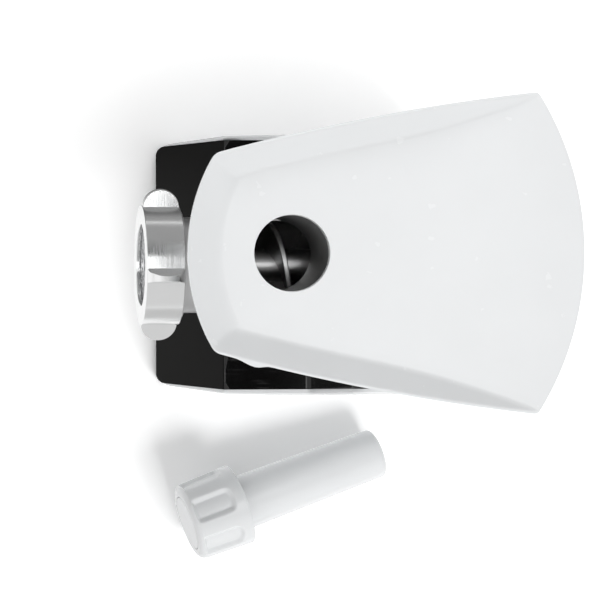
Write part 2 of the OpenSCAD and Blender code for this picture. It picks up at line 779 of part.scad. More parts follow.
module field_coils() {
    color(copper) for (a = [coil_from, 180 + coil_from]) difference() {
        sector_x(core_x - coil_over, core_end + coil_over, coil_in, coil_out, a, a + 180 - 2 * coil_from);
        sector_x(core_x - coil_gap, core_end + coil_gap, coil_in - cut, coil_out + cut,
            a + coil_side, a + 180 - 2 * coil_from - coil_side);
    }
}
module brush_holders() {
    box = [6, 6];
    hole = [3.2, 4];
    color(brass) both_sides() difference() {
        block([bracket_x + bracket_t, commutator_r + 3, motor_z - box.y],
            [brush_x + box.x, post_at.x - 1, motor_z + box.y]);
        block([brush_x - hole.x, 0, motor_z - hole.y], [brush_x + hole.x, post_at.x - 4, motor_z + hole.y]);
    }
}
module carbon_brushes() {
    half = [3, 3.8];
    color(black) both_sides() difference() {
        block([brush_x - half.x, 0, motor_z - half.y], [brush_x + half.x, post_at.x - 6, motor_z + half.y]);
        rod_x(-far, far, commutator_r + brush_gap, 0, motor_z);
    }
}
module motor_pads() {
    color(rubber) both_sides()
        block([core_x + 2, 10, foot_h + wall], [core_end - 2, 24, motor_z - stator_half.y]);
}

shaft_step = gearbox_x + bearing_len;
module rotor_shaft() {
    color(steel) {
        rod_x(bracket_x - 2.5, shaft_step, shaft_r, 0, motor_z);
        rod_x(shaft_step, layer_1[1] + 1, shaft_r - 1, 0, motor_z);
    }
}
slots = 12;
slot_w = 2;
slot_floor_r = 10.5;
module at_slots() {
    for (k = [0:slots - 1]) translate([0, 0, motor_z]) rotate([360 * (k + 0.5) / slots, 0, 0]) children();
}
module armature_core() {
    color(steel) difference() {
        rod_x(core_x, core_end, armature_r, 0, motor_z);
        rod_x(0, far, shaft_r + press, 0, motor_z);
        at_slots() block([core_x - cut, slot_floor_r, -slot_w / 2],
            [core_end + cut, armature_r + cut, slot_w / 2]);
    }
}
module armature_windings() {
    end = 5.5;
    color(copper) {
        tube_x(core_x - end, core_x - touch, armature_r - 3, shaft_r + press, 0, motor_z);
        tube_x(core_end + touch, core_end + end, armature_r - 3, shaft_r + press, 0, motor_z);
        at_slots() block([core_x - end, slot_floor_r + touch, -slot_w / 2 + touch],
            [core_end + end, armature_r - 3.2, slot_w / 2 - touch]);
    }
}
module commutator() {
    bars = 24;
    groove = [1, 0.2];
    color(copper) difference() {
        tube_x(commutator_x, commutator_x + commutator_len, commutator_r, shaft_r + press, 0, motor_z);
        for (k = [0:bars - 1]) translate([0, 0, motor_z]) rotate([360 * k / bars, 0, 0])
            block([commutator_x - cut, commutator_r - groove.x, -groove.y],
                [commutator_x + commutator_len - 1.5, commutator_r + cut, groove.y]);
    }
}
module cooling_fan() {
    blades = 11;
    color(nylon) difference() {
        union() {
            rod_x(fan_x + fan_len - 1.5, fan_x + fan_len, fan_r, 0, motor_z);
            rod_x(fan_x, fan_x + fan_len, shaft_r + 3.5, 0, motor_z);
            for (k = [0:blades - 1]) translate([0, 0, motor_z]) rotate([360 * k / blades, 0, 0])
                block([fan_x + 0.5, shaft_r + 1.75, -0.8], [fan_x + fan_len - 0.75, fan_r - 0.5, 0.8]);
        }
        rod_x(0, far, shaft_r + press, 0, motor_z);
    }
}
module motor_pinion() {
    color(steel) difference() {
        along_x(layer_1[0], 0, motor_z) linear_extrude(layer_1[1] - layer_1[0])
            gear_flat(teeth_motor, module_1, 0);
        rod_x(0, far, shaft_r - 1 + press, 0, motor_z);
    }
}

// ---- Electrics and controls ------------------------------------------------------------------------

board_x = cover_end + 8;
board_t = 1.6;
board_half = 38;
board_z0 = 10;
board_top = 82;
module circuit_board() {
    color(board_green) block([board_x, -board_half, board_z0], [board_x + board_t, board_half, board_top]);
}
// Relay, choke and terminal block: place on the board, width, height and depth of each
board_blocks = [[-32, 46, 20, 26, 16], [8, 50, 22, 12, 12], [-34, 16, 14, 20, 10]];
// Two capacitors: place on the board, radius and depth of each
board_rounds = [[20, 30, 8, 20], [-10, 28, 5, 9]];
module board_parts() {
    face = board_x + board_t;
    color(black) {
        for (b = board_blocks) block([face, b[0], b[1]], [face + b[4], b[0] + b[2], b[1] + b[3]]);
        for (r = board_rounds) rod_x(face, face + r[3], r[2], r[0], r[1]);
    }
}
switch_t = 12;
switch_h = 22;
module switch_block() {
    color(charcoal) on_front(button_up) {
        translate([switch_x, -pillar_y - pillar_r, -switch_h / 2])
            cube([switch_t, 2 * (pillar_y + pillar_r), switch_h]);
    }
}

module front_button(y) {
    on_front(button_up, y) {
        rod_in(-button_proud, button_end, button_r);
        rod_in(wall + 0.3, button_end - 1.2, button_r + flange_over);
    }
}
module power_button() { color(white) front_button(-button_y); }
module reverse_button() { color(charcoal) front_button(button_y); }

// Release button on the right side of the tower. Its yoke runs round the socket to a tooth on the far side
yoke_x = 51;
yoke_t = 4;
yoke_in = socket_ring_r + loose;
tooth_half_w = 4;
release_stem = 46;
release_stem_r = 6;
release_x = tower_front_x + wall + release_r + loose;
module along_release(y0, y1, x) {
    translate([x, y0, barrel_z]) rotate([-90, 0, 0]) linear_extrude(y1 - y0) children();
}
module latch_yoke() {
    color(steel) difference() {
        union() {
            along_x(yoke_x, 0, barrel_z) linear_extrude(yoke_t) difference() {
                hull() for (y = [-1, release_travel + 1]) translate([y, 0]) circle(yoke_in + 4);
                hull() for (y = [0, release_travel]) translate([y, 0]) circle(yoke_in);
            }
            block([yoke_x, -yoke_in - 3, barrel_z - tooth_half_w],
                [yoke_x + yoke_t, -barrel_r - socket_play, barrel_z + tooth_half_w]);
            block([yoke_x, release_stem - 3, barrel_z - release_stem_r],
                [yoke_x + yoke_t, release_stem + 14, barrel_z + release_stem_r]);
        }
    }
}
module release_button() {
    inner = band_half - 14;
    color(charcoal) {
        along_release(inner, half_at(barrel_z) + release_travel - 1, release_x) circle(release_r);
        along_release(release_stem + 14, inner, yoke_x + yoke_t / 2) circle(release_stem_r);
    }
}

// ---- Grinding head ----------------------------------------------------------------------------------

bush_wall = 4;
bush_out = 11;
drive_r = 8;
bore_end = tower_x - 2;
plate_rear = -barrel_reach - 1.3 + plate_t;
key_w = 3;
key_h = 2.5;
feed_relief = 0.4;
module grinder_barrel() {
    color(metal) difference() {
        union() {
            rod_x(-barrel_reach, barrel_end, barrel_r, 0, barrel_z);
            rod_x(-barrel_reach, -barrel_reach + ring_len - 3, thread_r, 0, barrel_z);
            translate([0, tube_y, barrel_z]) cylinder(h = tube_z - barrel_z, r = tube_r);
            block([socket_x + 3, -3, barrel_z + barrel_r - 2], [barrel_end, 3, barrel_z + barrel_r + 1.6]);
        }
        rod_x(-barrel_reach - cut, bore_end, barrel_bore_r, 0, barrel_z);
        difference() {
            rod_x(-barrel_reach - cut, plate_rear + touch, plate_r + 0.25, 0, barrel_z);
            block([-barrel_reach, -key_w / 2, barrel_z - plate_r - cut],
                [plate_rear + cut, key_w / 2, barrel_z - plate_r + key_h]);
        }
        rod_x(0, far, bush_out + press, 0, barrel_z);
        rod_x(bore_end + bush_wall, far, barrel_r - 6, 0, barrel_z);
        // feed tube, a little wider where it opens into the barrel
        translate([0, tube_y, barrel_z + barrel_bore_r]) cylinder(h = far, r = tube_bore_r);
        translate([0, tube_y, barrel_z]) cylinder(h = barrel_bore_r, r = tube_bore_r + feed_relief);
    }
}
module auger_bush() {
    color(nylon) tube_x(bore_end, bore_end + bush_wall, bush_out, drive_r + running, 0, barrel_z);
}

auger_front = plate_rear + knife_t + 3 * touch;
auger_end = bore_end - 3;
flight_lead = 31.5;  // half the angle that a flight spans at its root
flight_tip = 19;     // and at its rim
module auger() {
    run = auger_end - auger_front - 2;
    turn = 360 * run / auger_pitch;
    root = [for (a = [-flight_lead:flight_lead / 3:flight_lead]) (auger_core_r - 1) * [cos(a), sin(a)]];
    rim = [for (a = [flight_tip:-flight_tip / 3:-flight_tip]) auger_r * [cos(a), sin(a)]];
    color(metal) difference() {
        union() {
            rod_x(auger_front, auger_end, auger_core_r, 0, barrel_z);
            along_x(auger_front + 1, 0, barrel_z)
                linear_extrude(run, twist = -turn, slices = ceil(turn / 15), $fn = 14)
                    polygon(concat(root, rim));
            rod_x(auger_end, bore_end + bush_wall + 2, drive_r, 0, barrel_z);
            rod_hex(bore_end + bush_wall + 2, hex_x + hex_depth - 1, hex_af - 0.4);
        }
        rod_x(auger_front - cut, auger_front + stud_depth, stud_shank_r + press, 0, barrel_z);
    }
}

stud_depth = 20;
stud_shank_r = 5;
stud_square = 9;
stud_pin_r = 3.9;
module auger_stud() {
    color(steel) {
        rod_x(auger_front, auger_front + stud_depth, stud_shank_r, 0, barrel_z);
        block([plate_rear + touch, -stud_square / 2, barrel_z - stud_square / 2],
            [auger_front, stud_square / 2, barrel_z + stud_square / 2]);
        rod_x(plate_rear - plate_t - 1, plate_rear + touch, stud_pin_r, 0, barrel_z);
    }
}
module cross_knife() {
    hub = 10;
    blade = [26, 7.5];
    x0 = plate_rear + touch;
    color(steel) difference() {
        union() {
            rod_x(x0, x0 + knife_t, hub, 0, barrel_z);
            for (k = [0:3]) translate([0, 0, barrel_z]) rotate([90 * k, 0, 0])
                block([x0, 0, -blade.y / 2], [x0 + 0.75 * knife_t, blade.x, blade.y / 2]);
        }
        block([x0 - cut, -stud_square / 2 - press, barrel_z - stud_square / 2 - press],
            [x0 + knife_t + cut, stud_square / 2 + press, barrel_z + stud_square / 2 + press]);
    }
}

ring_step = 5.4;
first_ring = 8.5;
function holes_in(k) = [8, 14, 19, 25][k];
module hole_plate() {
    color(metal) difference() {
        rod_x(plate_rear - plate_t, plate_rear, plate_r, 0, barrel_z);
        rod_x(-far, 0, stud_pin_r + running * 2, 0, barrel_z);
        for (k = [0:plate_rings - 1], h = [0:holes_in(k) - 1])
            let (r = first_ring + ring_step * k, a = 360 * (h + k / 2) / holes_in(k) + 90)
            rod_x(-far, 0, plate_hole_d / 2, r * cos(a), barrel_z + r * sin(a));
        block([-far, -key_w / 2 - socket_play, barrel_z - plate_r - cut],
            [0, key_w / 2 + socket_play, barrel_z - plate_r + key_h + socket_play]);
    }
}

ring_lip = 3;
ring_mouth = 27;
ring_x = plate_rear - plate_t - touch - ring_lip;
ear_r = ring_len / 2 - 0.3;
ears = 4;
// One ear, standing up from the ring's axis: a disc whose two faces lean together towards the tip
module ear() {
    tip_z = ring_r + ear_reach;
    lean = (ear_root_t - ear_tip_t) / 2 / ear_reach;
    foot_y = ear_tip_t / 2 + lean * 2 * ear_r;
    intersection() {
        translate([0, foot_y, tip_z - ear_r]) rotate([90, 0, 0]) cylinder(h = 2 * foot_y, r = ear_r);
        along_x(-ear_r - cut) linear_extrude(2 * (ear_r + cut))
            polygon([[foot_y, tip_z - 2 * ear_r], [ear_tip_t / 2, tip_z], [-ear_tip_t / 2, tip_z],
                [-foot_y, tip_z - 2 * ear_r]]);
    }
}
module screw_ring() {
    color(metal) difference() {
        union() {
            rod_x(ring_x, ring_x + ring_len, ring_r, 0, barrel_z);
            for (k = [0:ears - 1]) translate([ring_x + ring_len / 2, 0, barrel_z])
                rotate([ear_turn + 360 * k / ears, 0, 0]) ear();
        }
        rod_x(ring_x - cut, far, ring_mouth, 0, barrel_z);
        rod_x(ring_x + ring_lip, far, thread_r + socket_play, 0, barrel_z);
    }
}

// ---- Tray --------------------------------------------------------------------------------------------

tray_edge = 2.2;     // width of the rim's flat top
tray_slope = 15;     // run of the sloping side between rim and floor
tray_pts = let (
    a = [-tray_front, tube_y + tray_front_half], b = [-tray_front, tube_y - tray_front_half],
    c = [tray_rear, tube_y - tray_rear_half], d = [tray_rear, tube_y + tray_rear_half])
    concat(arc_to(a, b, tray_front_bulge, 8), arc_to(b, c, tray_side_bulge, 6),
        arc_to(c, d, tray_rear_bulge, 10), arc_to(d, a, tray_side_bulge, 6));
tray_radii = [for (k = [0:len(tray_pts) - 1]) k == 0 || k == 8 ? 6 : k == 14 || k == 24 ? 3 : 0];
collar_t = 2.5;
collar_h = 17;
module tray_slab(z, h, d) {
    translate([0, 0, z]) linear_extrude(h) polygon(rounded(tray_pts, tray_radii, d, 4));
}
module meat_tray() {
    floor_z = tray_z - tray_depth;
    under_z = floor_z - tray_t;
    color(white) difference() {
        union() {
            hull() {
                tray_slab(tray_z - 3, 3, 0);
                tray_slab(under_z, 1, tray_slope);
            }
            translate([0, tube_y, under_z - collar_h])
                cylinder(h = collar_h + 1, r = tube_r + loose + collar_t);
        }
        hull() {
            tray_slab(tray_z - 0.5, 1, tray_edge);
            tray_slab(floor_z, 1, tray_slope + tray_t);
        }
        translate([0, tube_y, under_z - collar_h - cut])
            cylinder(h = collar_h + cut + tube_z + touch - under_z, r = tube_r + loose);
        translate([0, tube_y, 0]) cylinder(h = far, r = tube_bore_r + 0.3);
    }
}

// ---- Pusher ------------------------------------------------------------------------------------------

pusher_edge = 2;     // rounding of the two rims that it lies on
pusher_slope = atan((cap_mouth_r - stem_tip_r) / (pusher_len - cap_len));
pusher_z = (cap_len - pusher_edge) * sin(pusher_slope)
    + (cap_mouth_r - pusher_edge) * cos(pusher_slope) + pusher_edge;
stem_x = cap_len - 12;
stem_wall = 2.2;
// Lays out the pusher: +Z of its children runs from the cap's closed end to the tip
module pusher_place() {
    translate([pusher_x, pusher_y, pusher_z]) rotate([0, 0, pusher_turn])
        rotate([0, pusher_slope + 90, 0]) children();
}
module pusher_stem() {
    outer = [[0, stem_x], [stem_r, stem_x], [stem_tip_r, pusher_len], [0, pusher_len]];
    inner = [[0, stem_x - cut], [stem_r - stem_wall, stem_x - cut],
        [stem_tip_r - stem_wall, pusher_len - stem_wall], [0, pusher_len - stem_wall]];
    color(white) pusher_place() difference() {
        rotate_extrude() polygon(rounded(outer, [0, 0, pusher_edge, 0]));
        rotate_extrude() polygon(rounded(inner, [0, 0, pusher_edge, 0]));
    }
}
cap_wall = 5.5;
disc_r = 20;
disc_t = 1.5;
flutes = 6;
flute_turn = 39;     // angle of the first flute
flute_r = 26;        // radius of the scoop that cuts a flute
flute_depth = 2.4;
flute_from = 12.5;   // where the round start and the round end of a flute have their centres
flute_to = 26;
module pusher_cap() {
    web = cap_len - 6;
    cap_flare = atan((cap_mouth_r - cap_end_r) / cap_len);
    color(white) pusher_place() difference() {
        rotate_extrude() polygon(rounded([[0, 0], [cap_end_r, 0], [cap_mouth_r, cap_len], [0, cap_len]],
            [0, pusher_edge, pusher_edge, 0]));
        translate([0, 0, -cut]) cylinder(h = cut + disc_t, r = disc_r + 0.05);
        translate([0, 0, disc_t + 2.5]) cylinder(h = web - disc_t - 5, r = cap_end_r - cap_wall);
        translate([0, 0, web]) cylinder(h = cap_len, r = cap_mouth_r - 2.5);
        translate([0, 0, stem_x - 0.05]) cylinder(h = cap_len, r = stem_r + 0.05);
        for (k = [0:flutes - 1]) rotate([0, 0, flute_turn + 360 * k / flutes])
            translate([cap_end_r + flute_r - flute_depth, 0, 0]) rotate([0, cap_flare, 0]) {
                translate([0, 0, flute_from]) cylinder(h = flute_to - flute_from, r = flute_r);
                for (z = [flute_from, flute_to]) translate([0, 0, z]) sphere(flute_r);
            }
    }
}
module pusher_disc() {
    color(white) pusher_place() cylinder(h = disc_t, r = disc_r);
}

// ---- Assembly ----------------------------------------------------------------------------------------

base_plate();
foot_ring();
left_shell();
right_shell();
front_panel();
top_cover();
rear_cover();
vent_grille();
cable_gland();
housing_screws();
button_bezel();
socket_ring();
gearbox_housing();
gearbox_cover();
gearbox_screws();
gear_axles();
spindle_bushes();
spindle_seal();
motor_bracket();
stator_core();
field_coils();
motor_bolts();
motor_bearings();
brush_holders();
carbon_brushes();
motor_pads();
circuit_board();
board_parts();
switch_block();
rotor_shaft();
armature_core();
armature_windings();
commutator();
cooling_fan();
motor_pinion();
first_gear();
first_pinion();
second_gear();
second_pinion();
output_gear();
output_spindle();
grinder_barrel();
auger_bush();
auger();
auger_stud();
cross_knife();
hole_plate();
screw_ring();
meat_tray();
pusher_stem();
pusher_cap();
pusher_disc();
power_button();
reverse_button();
release_button();
latch_yoke();
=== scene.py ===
# %% [markdown]
# # An electric meat grinder, finished piece by piece
# The machine has a dark middle between two white side shells, a light-metal grinding head, a white tray on
# the feed tube and a white food pusher that lies beside it. Its construction comes packed from CAD as a fixed
# frame: where every part is, and how it moves. This file adds what the eye sees. Each step first says what
# the piece is, then which of Blender's tools could make it, and why one of them was picked.

# %% Load the frame
import json
import math

import bmesh
import bpy
from mathutils import Matrix, Vector


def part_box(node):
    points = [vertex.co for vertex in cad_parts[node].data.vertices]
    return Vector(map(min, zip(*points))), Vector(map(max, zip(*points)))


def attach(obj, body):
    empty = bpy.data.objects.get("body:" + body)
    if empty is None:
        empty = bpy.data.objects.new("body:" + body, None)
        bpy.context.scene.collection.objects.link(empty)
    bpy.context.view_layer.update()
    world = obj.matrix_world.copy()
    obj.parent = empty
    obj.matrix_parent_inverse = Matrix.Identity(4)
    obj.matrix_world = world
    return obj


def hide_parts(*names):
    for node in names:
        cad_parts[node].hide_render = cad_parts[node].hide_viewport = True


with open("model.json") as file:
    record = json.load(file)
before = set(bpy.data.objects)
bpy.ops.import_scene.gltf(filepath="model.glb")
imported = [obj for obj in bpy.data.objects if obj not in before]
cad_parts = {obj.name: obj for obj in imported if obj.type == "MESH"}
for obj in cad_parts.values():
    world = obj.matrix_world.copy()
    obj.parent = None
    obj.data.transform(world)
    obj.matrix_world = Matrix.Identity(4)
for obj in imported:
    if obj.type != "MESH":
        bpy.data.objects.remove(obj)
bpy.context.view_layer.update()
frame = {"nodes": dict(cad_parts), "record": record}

MM = 0.001


def box_mm(node):
    """Lowest and highest corner of a CAD node at rest, in millimetres."""
    low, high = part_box(node)
    return Vector(low) / MM, Vector(high) / MM


record = frame["record"]
body_of_node = {node: body for body, nodes in record["behaviour"]["bodies"].items() for node in nodes}
slot_of_node = {part["node"]: part["material_slot"] for part in record["subparts"]}

# %% [markdown]
# ## The camera
# A long lens from high above flattens the machine almost into a plan view. The camera leans by eleven
# degrees about the Y axis, so it looks slightly back over the outlet and sees the front panel under the
# screw ring. It also nods by one degree, which puts the machine a little above the middle and leaves room
# for the pusher.

# %% Place the camera
CAMERA_AT = (-233.15, 0, 1461.2)
CAMERA_NOD = -1.01
CAMERA_LEAN = -11
CAMERA_LENS = 119.1
CAMERA_FILM = 36
CAMERA_SIGHT = 50

camera = bpy.data.objects.new("camera", bpy.data.cameras.new("camera"))
camera.data.lens = CAMERA_LENS
camera.data.sensor_width = CAMERA_FILM
camera.data.clip_end = CAMERA_SIGHT
camera.location = Vector(CAMERA_AT) * MM
camera.rotation_euler = (math.radians(CAMERA_NOD), math.radians(CAMERA_LEAN), 0)
bpy.context.collection.objects.link(camera)
scene = bpy.context.scene
scene.camera = camera
scene.view_settings.view_transform = "Standard"

# %% [markdown]
# ## Shader arithmetic as plain expressions
# A material is a graph of nodes, and most of them only add, multiply or compare. Wiring those by hand hides
# the formula. A small wrapper round a node's output gives it Python's operators, so that `1 - mask * 0.3`
# adds the Math nodes itself. Every other node comes from one method, `add`.


# %% A wire that can be reckoned with
class Wire:
    """The output of a node. Arithmetic on it adds Math nodes to the same graph."""

    def __init__(self, graph, socket):
        self.graph = graph
        self.socket = socket

    def math(self, operation, *values):
        return self.graph.add("ShaderNodeMath", {"operation": operation}, dict(enumerate(values)))

    def __add__(self, other): return self.math("ADD", self, other)
    def __radd__(self, other): return self.math("ADD", other, self)
    def __sub__(self, other): return self.math("SUBTRACT", self, other)
    def __rsub__(self, other): return self.math("SUBTRACT", other, self)
    def __mul__(self, other): return self.math("MULTIPLY", self, other)
    def __rmul__(self, other): return self.math("MULTIPLY", other, self)
    def __truediv__(self, other): return self.math("DIVIDE", self, other)
    def __abs__(self): return self.math("ABSOLUTE", self)

    def clip(self):
        """The value held between 0 and 1."""
        return self.graph.add("ShaderNodeClamp", {}, {"Value": self})

    def most(self, other): return self.math("MAXIMUM", self, other)
    def sine(self): return self.math("SINE", self)
    def part(self): return self.math("FRACT", self)


# %% A graph of nodes
class Graph:
    """The nodes of a material or of the world."""

    def __init__(self, owner):
        owner.use_nodes = True
        self.owner = owner
        self.nodes = owner.node_tree.nodes
        self.links = owner.node_tree.links

    def add(self, kind, settings=None, sockets=None, out=0):
        """A node of this kind, its settings made first, then its sockets filled; returns one output."""
        node = self.nodes.new(kind)
        for name, value in (settings or {}).items():
            setattr(node, name, value)
        for key, value in (sockets or {}).items():
            self.fill(node.inputs[key], value)
        return Wire(self, node.outputs[out])

    def fill(self, socket, value):
        """Links a wire to the socket, or sets it to a plain value; None leaves it as it is."""
        if isinstance(value, Wire):
            self.links.new(value.socket, socket)
        elif value is not None:
            socket.default_value = value

    def place(self):
        """Object coordinates in millimetres, as one vector."""
        coords = self.add("ShaderNodeTexCoord", out="Object")
        return self.add("ShaderNodeVectorMath", {"operation": "SCALE"}, {0: coords, "Scale": 1 / MM})

    def axes(self, vector):
        """The three parts of a vector."""
        split = self.add("ShaderNodeSeparateXYZ", {}, {0: vector})
        outputs = split.socket.node.outputs
        return [Wire(self, outputs[i]) for i in range(3)]

    def rays(self, *names):
        """1 on rays of each named kind, 0 on others, one wire for each name."""
        outputs = self.add("ShaderNodeLightPath").socket.node.outputs
        return [Wire(self, outputs[f"Is {name} Ray"]) for name in names]

    def ramp(self, value, start, end):
        """0 below start, 1 above end and smooth between."""
        return self.add("ShaderNodeMapRange", {"interpolation_type": "SMOOTHSTEP"},
                        {"Value": value, "From Min": start, "From Max": end})

    def noise(self, vector, size, detail=2.0, stretch=(1, 1, 1)):
        """Smooth noise from 0 to 1 whose blots are about size millimetres, longer along a smaller stretch."""
        scaled = self.add("ShaderNodeVectorMath", {"operation": "MULTIPLY"},
                          {0: vector, 1: tuple(s / size for s in stretch)})
        return self.add("ShaderNodeTexNoise", {}, {"Vector": scaled, "Scale": 1.0, "Detail": detail})

    def mix(self, mask, first, second):
        """Colour that runs from first to second as the mask runs from 0 to 1."""
        return self.add("ShaderNodeMix", {"data_type": "RGBA"}, {0: mask, 6: first, 7: second}, out=2)

    def blend(self, mask, first, second):
        """Shader that runs from first to second as the mask runs from 0 to 1."""
        return self.add("ShaderNodeMixShader", {}, {0: mask, 1: first, 2: second})


# %% A material is a graph with one Principled shader
class Finish(Graph):
    """A material whose Principled shader is filled by name."""

    def __init__(self, name, **constants):
        super().__init__(bpy.data.materials.new(name))
        self.material = self.owner
        self.shader = self.nodes["Principled BSDF"]
        for socket, value in constants.items():
            self.fill(self.shader.inputs[socket.replace("_", " ")], value)

    def set(self, **values):
        for socket, value in values.items():
            self.fill(self.shader.inputs[socket.replace("_", " ")], value)

    def relief(self, height, depth):
        """Bump from a height of 0 to 1 that stands for depth millimetres."""
        self.set(Normal=self.add("ShaderNodeBump", {}, {"Distance": depth * MM, "Height": height}))


def grey(level, tint=(1.0, 1.0, 1.0)):
    """A linear colour of this level, slightly tinted."""
    return (level * tint[0], level * tint[1], level * tint[2], 1.0)


print("tools for shaders ready")


# %% [markdown]
# ## Floor
# Small appliances are lit on a white table in a white corner of the studio. The table is a wide disc. Near
# the machine it is plain white and takes the shadows, and further out it glows to white for the camera, which
# lights nothing. The camera also sees it a little brighter than the lamps make it, so that an open place is
# white at a light that is right for the object. In what gloss mirrors, the table is white in front and
# behind, and along either side it is darkened by painted shade, which gives the round metal its dark flanks.

# %% Floor
FLOOR_R = 6.0
FADE_CENTRE = (0.03, -0.08, 0)
FLOOR_FADE = (0.17, 0.3)
TABLE_COLOUR = 0.97
TABLE_GAIN = 0.24
# painted shade: where and how deeply the table turns grey along either side in what gloss mirrors
NORTH_PAINTED_SHADE_RISE, NORTH_SHADE = (0.03, 0.12), 0.88
PAINTED_SHADE_EASE, END_SHADE = (0.3, 0.6), 0.18
SOUTH_PAINTED_SHADE_RISE, SOUTH_SHADE = (0.22, 0.32), 0.42

floor_mesh = bmesh.new()
bmesh.ops.create_circle(floor_mesh, cap_ends=True, segments=96, radius=FLOOR_R)
floor = bpy.data.objects.new("floor", bpy.data.meshes.new("floor"))
floor_mesh.to_mesh(floor.data)
floor_mesh.free()
bpy.context.collection.objects.link(floor)


def white_table():
    graph = Graph(bpy.data.materials.new("white_table"))
    coords = graph.add("ShaderNodeTexCoord", out="Object")
    y = graph.axes(coords)[1]
    away = graph.add("ShaderNodeVectorMath", {"operation": "DISTANCE"}, {0: coords, 1: FADE_CENTRE}, out=1)
    far = graph.ramp(away, *FLOOR_FADE)
    looked_at, through, mirrored = graph.rays("Camera", "Transmission", "Glossy")
    seen = looked_at.most(through)
    # painted shade: gloss sees the table darker along both sides, where the machine's shade would fall
    painted_gloss_shade = (graph.ramp(y, *NORTH_PAINTED_SHADE_RISE) * NORTH_SHADE - graph.ramp(y, *PAINTED_SHADE_EASE) * END_SHADE
             + graph.ramp(0 - y, *SOUTH_PAINTED_SHADE_RISE) * SOUTH_SHADE)
    glow = graph.add("ShaderNodeEmission", {}, {"Color": grey(1.0), "Strength": 1 - mirrored * painted_gloss_shade})
    table = graph.add("ShaderNodeBsdfDiffuse", {}, {"Color": grey(TABLE_COLOUR)})
    gain = graph.add("ShaderNodeBsdfDiffuse", {}, {"Color": grey(TABLE_GAIN)})
    base = graph.blend((seen * far).most(mirrored), table, glow)
    both = graph.add("ShaderNodeAddShader", {}, {0: base, 1: graph.blend(seen, None, gain)})
    graph.fill(graph.nodes["Material Output"].inputs["Surface"], both)
    return graph.owner


floor.data.materials.append(white_table())
print("floor", FLOOR_R, "m in radius")

# %% [markdown]
# ## World
# What metal mirrors makes its look. So the world is drawn as a room: walls of different brightness, a light
# skirting round the horizon, and a dark gap overhead, which keeps polished black black. Matt surfaces get a
# little less of its light than gloss shows, and the camera itself sees plain white.

# %% World
SOUTH_WALL, SOUTH_RISE = 0.66, (0.1, 0.36)
NORTH_WALL, NORTH_RISE = 0.3, (0.3, 0.75)
EAST_WALL = 0.36
WEST_WALL = 0.95
END_RISE = (0.25, 0.6)
SKIRTING, SKIRTING_RISE = 0.95, (0.02, 0.13)
GAP = 0.03
DAYLIGHT_CUT = 0.2

world = bpy.data.worlds.new("studio")
scene.world = world
sky = Graph(world)
east, north, up = sky.axes(sky.add("ShaderNodeTexCoord", out="Generated"))
walls = (sky.ramp(0 - north, *SOUTH_RISE) * SOUTH_WALL).most(sky.ramp(north, *NORTH_RISE) * NORTH_WALL)
walls = walls.most(sky.ramp(east, *END_RISE) * EAST_WALL).most(sky.ramp(0 - east, *END_RISE) * WEST_WALL)
skirting = (1 - sky.ramp(up, *SKIRTING_RISE)) * SKIRTING
scattered, looked_at = sky.rays("Diffuse", "Camera")
room = (walls + GAP).most(skirting) * (1 - scattered * DAYLIGHT_CUT)
backdrop = sky.nodes["Background"]
sky.fill(backdrop.inputs["Color"], grey(1.0))
sky.fill(backdrop.inputs["Strength"], room.most(looked_at))
print("world of", len(sky.nodes), "nodes")

# %% [markdown]
# ## Softboxes
# One lamp can't do two jobs here. A strip that draws the white streak on the barrel and the screw ring would
# light the pusher's shadow away. So two wide strips overhead are seen by gloss alone. A key from the south
# east and a fill from the north light all that is matt, and gloss doesn't see them.


# %% Softboxes
def softbox(name, place, aim, size, watts, mirrored):
    """A rectangular lamp in metres: a mirrored one is seen by gloss alone, the others light the rest."""
    lamp = bpy.data.lights.new(name, "AREA")
    lamp.shape = "RECTANGLE"
    lamp.size, lamp.size_y = size
    lamp.energy = watts
    holder = bpy.data.objects.new(name, lamp)
    holder.location = place
    holder.rotation_euler = (Vector(aim) - Vector(place)).to_track_quat("-Z", "Y").to_euler()
    holder.visible_glossy = mirrored
    holder.visible_diffuse = not mirrored
    bpy.context.collection.objects.link(holder)
    print(name, watts, "W")


MACHINE = (0.05, 0.0, 0.1)
softbox("strip_above", (0.36, 0.1, 2.0), (0.36, 0.1, 0.0), (0.72, 0.9), 4.6, mirrored=True)
softbox("strip_front", (-0.62, 0.1, 1.9), (-0.62, 0.1, 0.0), (0.76, 0.9), 5.4, mirrored=True)
softbox("key_south_east", (0.75, -1.3, 1.45), MACHINE, (0.9, 0.7), 23, mirrored=False)
softbox("fill_north", (0.1, 1.65, 1.3), MACHINE, (2.0, 1.0), 18, mirrored=False)

# %% [markdown]
# ## White moulded plastic
# Tray, side shells and pusher are injection-moulded in one glossy white. Such plastic isn't one flat colour:
# the gloss varies a little, flow marks shift its tone, and a very fine ripple softens what it mirrors. Three
# noises of different size do this. They read Object coordinates, so all white pieces share one grain.


# %% White plastic
COOL_WHITE = (0.985, 1.0, 1.01)


def white_plastic():
    finish = Finish("moulded_white", IOR=1.5)
    place = finish.place()
    flow = finish.noise(place, 45, detail=3)
    ripple = finish.noise(place, 1.6, detail=2)
    handling = finish.noise(place, 12, detail=4)
    finish.set(Base_Color=finish.mix(flow, grey(0.76, COOL_WHITE), grey(0.80, COOL_WHITE)),
               Roughness=0.19 + handling * 0.12)
    finish.relief(ripple, 0.004)
    return finish.material


WHITE = white_plastic()

# %% [markdown]
# ## The two dark plastics
# The front panel is a satin charcoal with a spark-eroded grain, fine enough to be seen only as a dull sheen.
# Deck and tower are polished black. A polished surface shows dust and hairlines first, so its roughness has
# sparse thin scratches in it. Round the crease a slanted mask gives the black a satin gloss and a lighter
# grey, a few millimetres past the crease at its outer ends and further towards the middle. That lighter grey
# is a
# painted reflection: it stands for the bright room that the deck mirrors as grey, up to the tray's dark
# underside.


# %% Satin charcoal
WARM_BLACK = (1.03, 1.0, 0.98)


